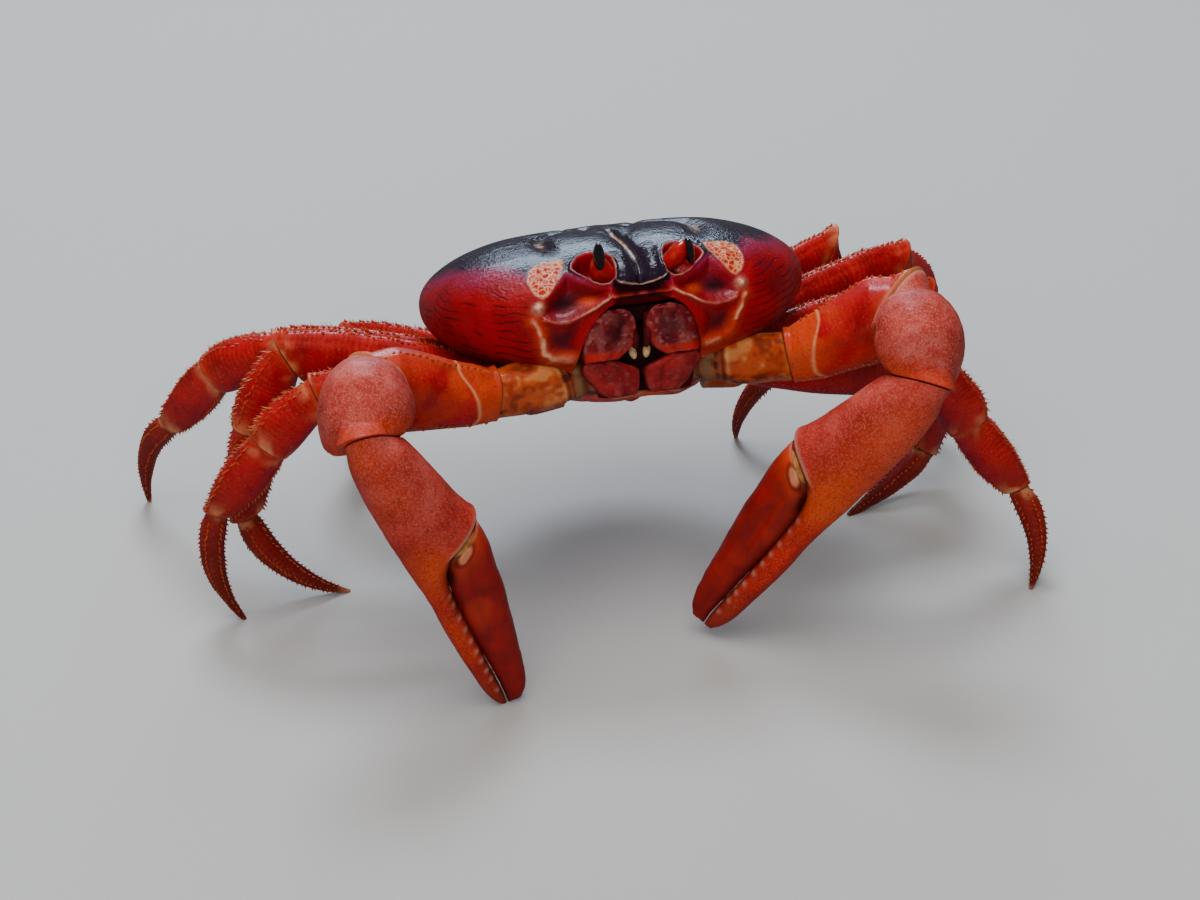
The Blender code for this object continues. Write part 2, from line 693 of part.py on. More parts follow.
def make_sternum(shell, group, cutters):
    rings = []
    for z, inset in ((STERNUM_ROOF, 0.0), (STERNUM_EDGE, 0.0), (STERNUM_FLOOR, 1.8)):
        right = [Vector((w - min(inset, w - 1.0), y, z)) for w, y in STERNUM_PLAN]
        left = [Vector((-p.x, p.y, p.z)) for p in reversed(right)]
        rings.append([in_world(point) for point in right + left])
    sternum = loft("sternum", rings, "under", group)
    hollow = box_in_body("mouth_room", (-MOUTH_HALF_WIDTH, -40, -19.0),
                         (MOUTH_HALF_WIDTH, MOUTH_BACK + JOINT_GAP, 0), cutters)
    combine(sternum, [swollen_copy(shell, JOINT_GAP, cutters), hollow], "DIFFERENCE")
    return sternum


def make_tail(shell, sternum, group, cutters):
    rings = []
    count = len(TAIL_LINE)
    for k, (y, z, half) in enumerate(TAIL_LINE):
        before = TAIL_LINE[max(k - 1, 0)]
        after = TAIL_LINE[min(k + 1, count - 1)]
        way = Vector((0, after[0] - before[0], after[1] - before[1])).normalized()
        out = Vector((0, -way.z, way.y))
        centre = Vector((0, y, z)) + out * -TAIL_THICKNESS / 2
        ring = ring_points(centre, out, Vector((1, 0, 0)), TAIL_THICKNESS / 2,
                           TAIL_THICKNESS / 2, half, 12, 3.0)
        rings.append([in_world(point) for point in ring])
    tail = loft("abdomen", rings, "under", group)
    combine(tail, [swollen_copy(shell, JOINT_GAP, cutters),
                   swollen_copy(sternum, JOINT_GAP, cutters)], "DIFFERENCE")
    return tail


def make_mouth_frame(group):
    # The plate behind the mouth covers: the bar under the brow, and the wall with the jaws.
    rings = []
    widest = MOUTH_HALF_WIDTH - JOINT_GAP
    for z, front, share in ((-18.4, -21.4, 0.3), (-14.0, -21.8, 0.4), (-10.6, -23.0, 0.6),
                            (-8.6, -21.6, 0.9), (-5.6, -21.6, 1.0), (-4.6, -24.6, 1.0),
                            (MOUTH_TOP - JOINT_GAP, -25.2, 1.0)):
        reach = widest * share
        back = MOUTH_BACK - JOINT_GAP
        ring = [Vector((-reach, back, z)), Vector((reach, back, z)),
                Vector((reach, (front + back) / 2, z)), Vector((reach * 0.6, front, z)),
                Vector((-reach * 0.6, front, z)), Vector((-reach, (front + back) / 2, z))]
        rings.append([in_world(point) for point in ring])
    return loft("mouth_frame", rings, "mouth", group)


def make_mouth_cover(side_name, part, group):
    # The outer mouth legs: a leaf-shaped upper plate and a broad lower one.
    sign = 1 if side_name == "left" else -1
    if part == "merus":
        outline = ((-1.9, 5.6, 2.0), (-2.8, 5.9, 3.8), (-5.4, 6.0, 5.1), (-8.6, 6.6, 5.0),
                   (-10.8, 7.6, 3.8))
        front, thick = -27.2, 2.2
    else:
        outline = ((-11.3, 8.4, 3.4), (-12.8, 7.9, 4.4), (-15.6, 7.3, 4.9), (-17.6, 6.6, 3.8))
        front, thick = -26.6, 2.2
    rings = []
    for z, middle, half in outline:
        lean = (z + 1.9) * -0.16
        centre = Vector((sign * middle, front + lean + thick / 2, z))
        ring = ring_points(centre, Vector((0, -1, 0)), Vector((1, 0, 0)), thick, thick * 0.4,
                           half, 12, 2.4)
        rings.append([in_world(point) for point in ring])
    name = side_name + "_maxilliped_" + part
    return loft(name, rings, "mouth", group)


def finish_pieces(group):
    # Puts the middle of the footprint at the origin and turns millimetres into metres.
    points = np.array([item.matrix_world @ vert.co for item in group.objects
                       for vert in item.data.vertices])
    low, high = points.min(axis=0), points.max(axis=0)
    shift = Vector((-(low[0] + high[0]) / 2, -(low[1] + high[1]) / 2, 0.0))
    for item in group.objects:
        item.data.transform(Matrix.Scale(MM, 4) @ Matrix.Translation(shift))
        item.data.shade_smooth()
        item.data.set_sharp_from_angle(angle=math.radians(40))


def main():
    clear_scene()
    random.seed(7)
    group = make_collection(MODEL_NAME)
    cutters = make_collection(MODEL_NAME + "_cutters")
    shell = make_shell(group, cutters)
    sternum = make_sternum(shell, group, cutters)
    make_tail(shell, sternum, group, cutters)
    make_mouth_frame(group)
    roots = []
    for side_name in ("left", "right"):
        make_eye(side_name, shell, group, cutters)
        make_mouth_cover(side_name, "merus", group)
        make_mouth_cover(side_name, "ischium", group)
        claw = make_claw(side_name, group, cutters)
        roots += claw[:2]
        for limb in ("leg_1", "leg_2", "leg_3", "leg_4"):
            leg = make_leg(side_name, limb, group, cutters)
            roots += leg[:2]
    combine(shell, [swollen_copy(root, JOINT_GAP, cutters) for root in roots], "DIFFERENCE")
    finish_pieces(group)


main()
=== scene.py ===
# Red land crab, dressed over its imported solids.
# Sizes are millimetres until buildMesh turns them into metres.
# Body frame: +X the crab's left, -Y its front, +Z up. Floor frame: the same ways, floor at zero.
import functools
import math
import bmesh
import bpy
import numpy as np
from mathutils import Matrix, Vector


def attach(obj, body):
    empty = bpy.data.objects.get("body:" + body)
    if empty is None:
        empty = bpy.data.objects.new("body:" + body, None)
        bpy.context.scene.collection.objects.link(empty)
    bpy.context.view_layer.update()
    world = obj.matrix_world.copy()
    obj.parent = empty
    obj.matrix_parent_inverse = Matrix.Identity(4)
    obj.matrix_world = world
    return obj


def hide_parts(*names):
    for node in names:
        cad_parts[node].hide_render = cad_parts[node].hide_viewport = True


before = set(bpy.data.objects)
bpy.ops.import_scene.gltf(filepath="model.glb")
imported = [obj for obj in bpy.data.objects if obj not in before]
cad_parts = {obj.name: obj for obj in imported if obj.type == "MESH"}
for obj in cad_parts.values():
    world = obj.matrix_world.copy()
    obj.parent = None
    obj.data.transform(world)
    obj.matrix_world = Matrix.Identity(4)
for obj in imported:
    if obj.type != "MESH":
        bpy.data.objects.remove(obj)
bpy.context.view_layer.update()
print("solids loaded")
millimetre = 0.001

# how the body is held, and the shift that the solids were given
stance = {"centre": (-0.5, -9.6, 60.9), "pitch": 24.7, "roll": 1.4,
          "shift": (5.231, 8.411, 0.0)}


def turnMatrix():
    p, r = math.radians(stance["pitch"]), math.radians(stance["roll"])
    nod = np.array([[1, 0, 0], [0, math.cos(p), math.sin(p)], [0, -math.sin(p), math.cos(p)]])
    lean = np.array([[math.cos(r), 0, math.sin(r)], [0, 1, 0], [-math.sin(r), 0, math.cos(r)]])
    return lean @ nod


bodyTurn = turnMatrix()
bodyCentre = np.array(stance["centre"])
standShift = np.array(stance["shift"])


def toFloor(points):
    return np.asarray(points, float) @ bodyTurn.T + bodyCentre


def unit(vector):
    vector = np.asarray(vector, float)
    return vector / np.linalg.norm(vector)


def eachUnit(rows):
    return rows / np.linalg.norm(rows, axis=1, keepdims=True)


def squareTo(vector, axis):
    return unit(vector - axis * np.dot(vector, axis))


# small number tools

def hashCorner(ix, iy, iz, seed):
    n = (ix * 374761393 + iy * 668265263 + iz * 1440662683 + seed * 974634777) & 0xffffffff
    n = ((n ^ (n >> 13)) * 1274126177) & 0xffffffff
    return ((n ^ (n >> 16)) & 0xffff) / 65535.0


def softNoise(points, size, seed=1):
    # smooth random values between 0 and 1, one bump for each size
    q = np.asarray(points, float) / size
    cell = np.floor(q).astype(np.int64)
    f = q - cell
    f = f * f * (3 - 2 * f)
    total = np.zeros(q.shape[:-1])
    for dx in (0, 1):
        wx = f[..., 0] if dx else 1 - f[..., 0]
        for dy in (0, 1):
            wy = f[..., 1] if dy else 1 - f[..., 1]
            for dz in (0, 1):
                wz = f[..., 2] if dz else 1 - f[..., 2]
                total += wx * wy * wz * hashCorner(cell[..., 0] + dx, cell[..., 1] + dy,
                                                   cell[..., 2] + dz, seed)
    return total


def ramp(value, low, high):
    t = clipped((np.asarray(value, float) - low) / (high - low))
    return t * t * (3 - 2 * t)


def bump(value, width):
    return np.exp(-(np.asarray(value, float) / width) ** 2)


def fall(value, low, high):
    return 1 - ramp(value, low, high)


def spot(u, v, uMiddle, uReach, vMiddle, vReach):
    return bump(np.hypot((u - uMiddle) / uReach, (v - vMiddle) / vReach), 1.0)


def strongest(*layers):
    return functools.reduce(np.maximum, layers)


def clipped(value):
    return np.clip(value, 0, 1)


def centred(points, size, seed):
    return softNoise(points, size, seed) - 0.5


def patchy(points, size, seed, low, high):
    return ramp(softNoise(points, size, seed), low, high)


def smoothTable(table, at):
    # reads a table's columns along its own length, with rounded joins
    table = np.asarray(table, float)
    count = len(table)
    slopes = np.gradient(table, axis=0)
    at = np.clip(np.asarray(at, float), 0, count - 1 - 1e-9)
    k = at.astype(int)
    t = (at - k)[..., None]
    a, b, m, n = table[k], table[k + 1], slopes[k], slopes[k + 1]
    return ((2 * t ** 3 - 3 * t ** 2 + 1) * a + (t ** 3 - 2 * t ** 2 + t) * m
            + (3 * t ** 2 - 2 * t ** 3) * b + (t ** 3 - t ** 2) * n)


def alongAll(table, count):
    # a table read at this many even places from its first row to its last
    return smoothTable(table, np.linspace(0, len(table) - 1, count))


def byPlace(stations, places):
    # form factors at places along a piece, smooth between its stations
    stations = np.asarray(stations, float)
    inner = np.interp(places, stations[:, 0], np.arange(len(stations)))
    return smoothTable(stations[:, 1:], inner)


def lineDistance(u, v, line):
    # distance in a plane to a run of points, and how far along it the nearest place is
    best = np.full(np.shape(u), 1e9)
    where = np.zeros(np.shape(u))
    line = np.asarray(line, float)
    run = 0.0
    for (x0, y0), (x1, y1) in zip(line, line[1:]):
        dx, dy = x1 - x0, y1 - y0
        length = math.hypot(dx, dy)
        t = clipped(((u - x0) * dx + (v - y0) * dy) / length ** 2)
        d = np.hypot(u - x0 - t * dx, v - y0 - t * dy)
        near = d < best
        best = np.where(near, d, best)
        where = np.where(near, run + t * length, where)
        run += length
    return best, where / run


def insideDepth(u, v, outline):
    # positive inside an outline and negative outside, in mm from its edge
    outline = np.asarray(outline, float)
    closed = np.vstack([outline, outline[:1]])
    edge, _ = lineDistance(u, v, closed)
    inside = np.zeros(np.shape(u), bool)
    for (x0, y0), (x1, y1) in zip(closed, closed[1:]):
        if y0 == y1:
            continue
        crosses = ((y0 > v) != (y1 > v)) & (u < (x1 - x0) * (v - y0) / (y1 - y0) + x0)
        inside ^= crosses
    return np.where(inside, edge, -edge)


# meshes

def gridFaces(rows, columns, start=0):
    i, j = np.meshgrid(np.arange(rows - 1), np.arange(columns), indexing="ij")
    k = (j + 1) % columns
    return (start + np.stack([i * columns + j, i * columns + k, (i + 1) * columns + k,
                              (i + 1) * columns + j], -1)).reshape(-1, 4)


def ringShape(count, fullness):
    angle = 2 * math.pi * (np.arange(count) + 0.5) / count
    c, s = np.cos(angle), np.sin(angle)
    power = 2 / fullness
    return angle, np.sign(c) * np.abs(c) ** power, np.sign(s) * np.abs(s) ** power


def circle(count):
    return 2 * math.pi * np.arange(count) / count


def circlesAt(centres, radii, first, second, count):
    # a ring of points round each centre, in the plane of two ways
    c, s = (wave(circle(count))[None, :, None] for wave in (np.cos, np.sin))
    return centres[:, None] + radii[:, None, None] * (c * first[:, None] + s * second[:, None])


def columnsOf(table):
    return (column[:, None] for column in np.asarray(table).T)


def outwardOf(rings):
    # unit normals of a grid of rings
    around = np.roll(rings, -1, axis=1) - np.roll(rings, 1, axis=1)
    along = np.gradient(rings, axis=0)
    normal = np.cross(around, along)
    size = np.linalg.norm(normal, axis=-1, keepdims=True)
    normal = normal / np.maximum(size, 1e-12)
    middle = rings.mean(axis=1, keepdims=True)
    if np.mean(np.sum(normal * (rings - middle), axis=-1)) < 0:
        normal = -normal
    return normal


def gridOf(x, y, z):
    return np.stack(np.broadcast_arrays(x, y, z), -1)


def placed(name, data):
    piece = bpy.data.objects.new(name, data)
    bpy.context.scene.collection.objects.link(piece)
    return piece


def buildMesh(name, patches, node):
    # patches: (points, groups of faces, finish, {mark: values}); one object of them all
    mesh = bpy.data.meshes.new(name)
    grids = [np.asarray(patch[0], float).reshape(-1, 3) for patch in patches]
    points = (np.concatenate(grids) + standShift) * millimetre
    mesh.vertices.add(len(points))
    mesh.vertices.foreach_set("co", points.astype(np.float32).ravel())
    loops, sizes, slots, finishes, base = [], [], [], [], 0
    for grid, (_, groups, finish, _) in zip(grids, patches):
        if finish not in finishes:
            finishes.append(finish)
        for group in groups:
            loops.append((group + base).ravel())
            sizes.append(np.full(len(group), group.shape[1]))
            slots.append(np.full(len(group), finishes.index(finish)))
        base += len(grid)
    loops, sizes, slots = (np.concatenate(part).astype(np.int32) for part in (loops, sizes, slots))
    mesh.loops.add(len(loops))
    mesh.loops.foreach_set("vertex_index", loops)
    mesh.polygons.add(len(sizes))
    starts = (np.cumsum(sizes) - sizes).astype(np.int32)
    for key, values in (("loop_start", starts), ("loop_total", sizes), ("material_index", slots),
                        ("use_smooth", np.ones(len(sizes), bool))):
        mesh.polygons.foreach_set(key, values)
    for key in sorted({key for patch in patches for key in patch[3]}):
        values = [np.broadcast_to(np.ravel(patch[3].get(key, 0.0)), len(grid))
                  for grid, patch in zip(grids, patches)]
        layer = mesh.attributes.new(key, "FLOAT", "POINT")
        layer.data.foreach_set("value", np.concatenate(values).astype(np.float32))
    mesh.update(calc_edges=True)
    mesh.validate()
    for finish in finishes:
        mesh.materials.append(finish)
    piece = placed(name, mesh)
    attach(piece, "root")
    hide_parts(node)
    return piece


def facingOut(rings, faces):
    # turns a closed grid's faces round where it is inside out
    points = rings.reshape(-1, 3)
    a, b, c = points[faces[:, 0]], points[faces[:, 1]], points[faces[:, 2]]
    d = points[faces[:, 3]]
    middle = points.mean(axis=0)
    volume = np.sum((a - middle) * np.cross(b - middle, c - middle))
    volume += np.sum((a - middle) * np.cross(c - middle, d - middle))
    return faces if volume > 0 else faces[:, ::-1]


def closedFaces(points):
    # the faces of a closed tube of rings, its ends included, all looking out
    rows, columns = points.shape[:2]
    faces = gridFaces(rows, columns)
    turned = facingOut(points, faces)
    ends = np.stack([np.arange(columns)[::-1], (rows - 1) * columns + np.arange(columns)])
    return [turned, ends if turned[0, 0] == faces[0, 0] else ends[:, ::-1]]


def drawnIn(ring, shares):
    # copies of a ring, each drawn in to a share of its size
    middle = ring.mean(axis=0)
    return middle + (ring - middle)[None] * shares[:, None, None]


def tubePatch(rings, finish, marks, steps=4):
    # a closed tube; both end rings are carried in to their middles
    shares = 1 - (np.arange(steps) + 1) / (steps + 0.08)
    points = np.concatenate([drawnIn(rings[0], shares)[::-1], rings, drawnIn(rings[-1], shares)])
    padded = {key: np.pad(np.broadcast_to(value, rings.shape[:2]), ((steps, steps), (0, 0)),
                          mode="edge").ravel() for key, value in marks.items()}
    return (points, closedFaces(points), finish, padded)


coneShapes = {"sharp": ((-1, 1.15), (0.0, 1.0), (0.35, 0.80), (0.7, 0.45), (1.0, 0.06)),
              "blunt": ((-1, 1.1), (0.0, 1.0), (0.45, 0.88), (0.82, 0.60), (1.0, 0.20))}


def coneField(roots, ways, heights, radii, finish, sides=6, sink=0.4, kind="sharp"):
    # many small pointed cones as one patch; tipMark runs from 0 at a root to 1 at a tip
    n, shape = len(roots), coneShapes[kind]
    helper = np.tile(np.array([0.31, 0.52, 0.80]), (n, 1))
    ups = eachUnit(helper - ways * np.sum(helper * ways, axis=1, keepdims=True))
    across = np.cross(ways, ups)
    rows, marks = [], []
    for share, width in shape:
        level = np.full(n, -sink) if share < 0 else heights * share
        centre = roots + ways * level[:, None]
        rows.append(circlesAt(centre, radii * width, ups, across, sides))
        marks.append(np.full((n, sides), max(share, 0)))
    points = np.stack(rows, axis=1)
    tips = np.stack(marks, axis=1)
    one = gridFaces(len(shape), sides)
    faces = (one[None] + (np.arange(n) * len(shape) * sides)[:, None, None]).reshape(-1, 4)
    a, b, c = (points[0].reshape(-1, 3)[one[0][k]] for k in (0, 1, 2))
    centre = points[0].reshape(-1, 3)[:sides].mean(axis=0)
    if np.dot(np.cross(b - a, c - a), a - centre) < 0:
        faces = faces[:, ::-1]
    return (points.reshape(-1, 3), [faces], finish, {"tipMark": tips.ravel()})


print("tools ready")


# finishes

class Painter:
    # writes a material's nodes; sizes are the millimetres of one bump
    def __init__(self, name, gloss, coat=0.0, coatGloss=0.03, specular=0.5):
        self.finish = bpy.data.materials.new(name)
        self.finish.use_nodes = True
        self.tree = self.finish.node_tree
        self.shader = self.tree.nodes["Principled BSDF"]
        for key, value in (("Roughness", gloss), ("Coat Weight", coat),
                           ("Coat Roughness", coatGloss), ("Specular IOR Level", specular)):
            self.shader.inputs[key].default_value = value

    def join(self, value, socket):
        # links another node's output, or sets a colour or a number
        if hasattr(value, "is_linked"):
            self.tree.links.new(value, socket)
        else:
            socket.default_value = (*value, 1.0) if isinstance(value, tuple) else value

    def add(self, kind, *joins, **settings):
        node = self.tree.nodes.new(kind)
        for key, value in settings.items():
            setattr(node, key, value)
        for slot, value in joins:
            self.join(value, node.inputs[slot])
        return node

    def band(self, factor, *stops):
        node = self.add("ShaderNodeValToRGB", (0, factor))
        elements = node.color_ramp.elements
        while len(elements) < len(stops):
            elements.new(0.5)
        for element, (place, colour) in zip(elements, stops):
            element.position = place
            element.color = (*colour, 1.0)
        return node.outputs[0]

    def mask(self, factor, dark, light, low=0.0, high=1.0):
        # grey: low where the factor is dark, high where it is light
        return self.band(factor, *sorted(((dark, (low,) * 3), (light, (high,) * 3))))

    def mix(self, factor, first, second):
        joins = ((0, factor), (6, first), (7, second))
        return self.add("ShaderNodeMix", *joins, data_type="RGBA").outputs[2]

    def maths(self, kind, first, second, clamp=False):
        joins = ((0, first), (1, second))
        return self.add("ShaderNodeMath", *joins, operation=kind, use_clamp=clamp).outputs[0]

    def times(self, first, second, clamp=False):
        return self.maths("MULTIPLY", first, second, clamp)

    def plus(self, first, second):
        return self.maths("ADD", first, second)

    def mark(self, name):
        return self.add("ShaderNodeAttribute", attribute_name=name).outputs["Fac"]

    def place(self):
        return self.add("ShaderNodeTexCoord").outputs["Object"]

    def noise(self, size, detail=4.0, rough=0.55, stretch=(1, 1, 1)):
        scale = self.add("ShaderNodeMapping", ("Vector", self.place()))
        scale.inputs["Scale"].default_value = [k / (size * millimetre) for k in stretch]
        return self.add("ShaderNodeTexNoise", ("Vector", scale.outputs["Vector"]), ("Scale", 1.0),
                        ("Detail", detail), ("Roughness", rough)).outputs["Fac"]

    def cells(self, size, feature="F1"):
        joins = (("Vector", self.place()), ("Scale", 1 / (size * millimetre)))
        return self.add("ShaderNodeTexVoronoi", *joins, feature=feature).outputs["Distance"]

    def finished(self, skin, rough, *layers):
        # layers: (height, strength, millimetres); chained so that each adds to the last
        self.join(skin, self.shader.inputs["Base Color"])
        self.join(rough, self.shader.inputs["Roughness"])
        last = None
        for height, strength, depth in layers:
            node = self.add("ShaderNodeBump", ("Height", height), ("Strength", strength),
                            ("Distance", depth * millimetre))
            if last:
                self.join(last, node.inputs["Normal"])
            last = node.outputs["Normal"]
        if last:
            self.join(last, self.shader.inputs["Normal"])
        return self.finish


black, white = (0.0, 0.0, 0.0), (1.0, 1.0, 1.0)
# plumAndSheen is partly the shell's own purple and partly a painted sheen on the upper flank
shellLook = {"dark": (0.014, 0.006, 0.014), "plumAndSheen": (0.170, 0.006, 0.036),
             "red": (0.290, 0.0015, 0.003), "deepRed": (0.140, 0.001, 0.005),
             "cream": (0.66, 0.36, 0.20), "orange": (0.56, 0.045, 0.004),
             # grain is the colour of the painted glints, lighter specks on the dark back
             "fleck": (0.52, 0.16, 0.20), "grain": (0.105, 0.050, 0.085),
             "line": (0.030, 0.001, 0.006), "pit": (0.004, 0.003, 0.006),
             "shade": (0.016, 0.002, 0.006), "gloss": 0.24, "coat": 0.10,
             "net": ((0.025, (0.58, 0.24, 0.10)), (0.10, (0.48, 0.075, 0.018)),
                     (0.18, (0.36, 0.012, 0.005)))}


def makeShellFinish():
    look = shellLook
    paint = Painter("shellSkin", look["gloss"], look["coat"], 0.08, 0.22)
    cloud, fine = paint.noise(9.0, 5.0, 0.6), paint.noise(1.1, 3.0, 0.6)
    dark, lined, shade = (paint.mark(name) for name in ("darkness", "striae", "shade"))
    edge = paint.plus(dark, paint.times(paint.plus(cloud, -0.5), 0.55))
    # the red turns dark through a purple band, partly the shell's own colour and partly a painted
    # sheen
    skin = paint.mix(paint.mask(edge, 0.02, 0.36),
                     paint.band(cloud, (0.30, look["deepRed"]), (0.62, look["red"])),
                     paint.band(edge, (0.36, look["plumAndSheen"]), (0.66, look["dark"])))
    # pale flecks where the red turns dark; painted glints as lighter specks, and small pits, where
    # it is dark
    flecks = paint.times(paint.mask(paint.noise(0.5, 2.0, 0.7), 0.63, 0.70),
                         paint.band(edge, (0.05, black), (0.40, white), (0.75, black)))
    skin = paint.mix(paint.times(flecks, 0.55), skin, look["fleck"])
    speckles = paint.times(paint.mask(paint.noise(0.42, 3.0, 0.7), 0.60, 0.68), dark)
    skin = paint.mix(paint.times(speckles, 0.50), skin, look["grain"])
    skin = paint.mix(paint.times(lined, 0.75), skin, look["line"])
    pits = paint.times(paint.mask(paint.cells(1.5), 0.16, 0.0), dark)
    skin = paint.mix(paint.times(pits, 0.7), skin, look["pit"])
    skin = paint.mix(shade, skin, look["shade"])
    warm = paint.times(paint.mark("warmth"), paint.plus(fine, 0.35))
    skin = paint.mix(warm, skin, look["orange"])
    # the network of the two front patches
    net = paint.band(paint.cells(1.15, "DISTANCE_TO_EDGE"), *look["net"])
    skin = paint.mix(paint.mark("stipple"), skin, net)
    pale = paint.times(paint.mark("cream"), paint.mask(fine, 0.30, 0.55, 0.35))
    skin = paint.mix(pale, skin, look["cream"])
    rough = paint.mask(paint.noise(3.0, 3.0), 0.3, 0.7, 0.10, 0.24)
    rough = paint.plus(rough, paint.times(shade, 0.30))
    rough = paint.plus(rough, paint.times(paint.maths("SUBTRACT", 1.0, dark), 0.22))
    streaks = paint.noise(2.0, 5.0, 0.65, (0.4, 1, 1))
    return paint.finished(skin, rough, (paint.cells(0.7), 0.60, 0.12), (pits, -0.7, 0.22),
                          (streaks, 0.65, 0.34), (lined, -0.3, 0.12))


# shadeViolet is painted shade, the darker violet on the undersides of the legs
legLook = {"red": (0.40, 0.004, 0.007), "deep": (0.18, 0.002, 0.005),
           "orange": (0.54, 0.048, 0.005), "brown": (0.085, 0.008, 0.004),
           "cream": (0.60, 0.26, 0.11), "shadeViolet": (0.16, 0.003, 0.020), "speck": (0.62, 0.24, 0.14)}


def makeLegFinish():
    look = legLook
    paint = Painter("legSkin", 0.30, 0.08, 0.14, 0.25)
    cloud, fine = paint.noise(6.0, 5.0, 0.6), paint.noise(0.8, 3.0, 0.6)
    specks = paint.mask(paint.noise(0.45, 2.0, 0.7), 0.64, 0.71)
    pits = paint.mask(paint.noise(0.60, 2.0, 0.7), 0.44, 0.34)
    skin = paint.band(cloud, (0.28, look["deep"]), (0.58, look["red"]))
    for share, colour in (
            # underTint: painted shade, darker violet on the side facing down
            (paint.mark("underTint"), "shadeViolet"),
            (paint.times(paint.mark("warmth"), paint.plus(cloud, 0.25), True), "orange"),
            (paint.mark("brownness"), "brown"), (paint.times(paint.mark("relief"), 0.22), "orange"),
            (paint.times(specks, 0.26), "speck"), (paint.times(pits, 0.45), "deep"),
            (paint.times(paint.mark("cream"), paint.plus(fine, 0.45), True), "cream")):
        skin = paint.mix(share, skin, look[colour])
    return paint.finished(skin, paint.mask(fine, 0.3, 0.7, 0.24, 0.42),
                          (paint.cells(0.55), 0.30, 0.08), (cloud, 0.2, 0.3))


clawLook = {"pink": (0.44, 0.055, 0.042), "red": (0.40, 0.010, 0.003), "dust": (0.55, 0.18, 0.14),
            "orange": (0.52, 0.045, 0.003), "deep": (0.22, 0.006, 0.003),
            "speck": (0.58, 0.22, 0.14), "cream": (0.66, 0.42, 0.28),
            "shade": (0.070, 0.012, 0.010)}


def makeClawFinish():
    look = clawLook
    paint = Painter("clawSkin", 0.50, 0.03, 0.03, 0.20)
    cloud, fine, grain = paint.noise(7.0, 5.0, 0.62), paint.noise(0.5, 3.0, 0.6), paint.cells(0.50)
    redness = paint.mark("redness")
    pink = paint.band(cloud, (0.25, look["deep"]), (0.50, look["pink"]), (0.80, look["dust"]))
    skin = paint.mix(redness, pink, paint.band(cloud, (0.28, look["deep"]), (0.60, look["red"])))
    dusty = paint.times(paint.mask(grain, 0.50, 0.15), paint.mask(redness, 1.0, 0.2, 0.16, 0.50))
    spots = paint.mask(paint.noise(0.55, 2.0, 0.7), 0.50, 0.34)
    specks = paint.mask(paint.noise(0.42, 2.0, 0.7), 0.60, 0.70)
    for share, colour in ((paint.mark("warmth"), "orange"), (dusty, "dust"),
                          (paint.times(spots, 0.55), "deep"), (paint.times(specks, 0.20), "speck"),
                          (paint.mark("cream"), "cream"), (paint.mark("shade"), "shade")):
        skin = paint.mix(share, skin, look[colour])
    return paint.finished(skin, paint.mask(fine, 0.3, 0.7, 0.42, 0.62), (grain, -0.8, 0.16),
                          (paint.cells(1.3), -0.3, 0.22), (fine, 0.3, 0.08))


# the simpler finishes: two clouded colours, cloud size, gloss, coat, grain size and strength,
# and the marks that tint them
plainLooks = {
    "fingerSkin": ((0.14, 0.004, 0.003), (0.29, 0.006, 0.004), 5.0, 0.38, 0.12, 0.6, 0.35,
                   {"warmth": (0.50, 0.035, 0.008), "cream": (0.60, 0.32, 0.15),
                    "shade": (0.05, 0.004, 0.003)}),
    "spineAmber": ((0.20, 0.010, 0.003), (0.36, 0.028, 0.006), 1.5, 0.35, 0.2, 0.3, 0.1,
                   {"tipMark": (0.40, 0.090, 0.016)}),
    "bristleStraw": ((0.40, 0.13, 0.04), (0.54, 0.26, 0.11), 1.5, 0.5, 0.0, 0.3, 0.1, {}),
    "toothIvory": ((0.58, 0.22, 0.09), (0.74, 0.50, 0.30), 1.2, 0.35, 0.2, 0.4, 0.1,
                   {"tipMark": (0.78, 0.60, 0.42)}),
    "mouthSkin": ((0.080, 0.002, 0.006), (0.190, 0.009, 0.012), 2.2, 0.50, 0.0, 0.42, 0.45,
                  {"cream": (0.36, 0.10, 0.085), "warmth": (0.40, 0.010, 0.006),
                   "shade": (0.018, 0.001, 0.003)}),
    "underSkin": ((0.22, 0.012, 0.014), (0.36, 0.040, 0.036), 6.0, 0.45, 0.05, 0.6, 0.3,
                  {"warmth": (0.50, 0.070, 0.010), "cream": (0.52, 0.30, 0.15),
                   "shade": (0.040, 0.004, 0.006)}),
    "hipSkin": ((0.26, 0.016, 0.004), (0.50, 0.075, 0.010), 4.0, 0.30, 0.30, 0.6, 0.25,
                {"cream": (0.60, 0.26, 0.07), "foldTone": (0.17, 0.085, 0.035),
                 "shade": (0.07, 0.008, 0.004)}),
    "jointSkin": ((0.24, 0.070, 0.018), (0.52, 0.24, 0.06), 1.6, 0.5, 0.0, 0.4, 0.3, {}),
    "eyeRed": ((0.17, 0.001, 0.002), (0.34, 0.002, 0.002), 1.5, 0.18, 0.5, 0.35, 0.06,
               {"warmth": (0.50, 0.035, 0.004)}),
    "corneaBlack": ((0.003, 0.002, 0.002), (0.008, 0.005, 0.004), 1.0, 0.07, 1.0, 0.10, 0.03, {}),
    "jawCream": ((0.34, 0.14, 0.05), (0.62, 0.42, 0.22), 1.0, 0.28, 0.4, 0.3, 0.12, {}),
    # shadowLining: near black, the painted shadow inside the mouth's room
    "shadowLining": ((0.010, 0.003, 0.003), (0.030, 0.005, 0.005), 2.0, 0.6, 0.0, 0.5, 0.2, {}),
}


def makePlainFinish(name):
    first, second, size, gloss, coat, grain, strength, tints = plainLooks[name]
    paint = Painter(name, gloss, coat, 0.12, 0.25)
    cloud = paint.noise(size, 5.0, 0.6)
    skin = paint.band(cloud, (0.30, first), (0.66, second))
    for mark, colour in tints.items():
        skin = paint.mix(paint.mark(mark), skin, colour)
    rough = paint.mask(paint.noise(size * 0.3, 3.0), 0.3, 0.7, max(gloss - 0.08, 0.02),
                       min(gloss + 0.08, 1.0))
    return paint.finished(skin, rough, (paint.cells(grain), -strength, grain * 0.2),
                          (cloud, 0.15, size * 0.05))


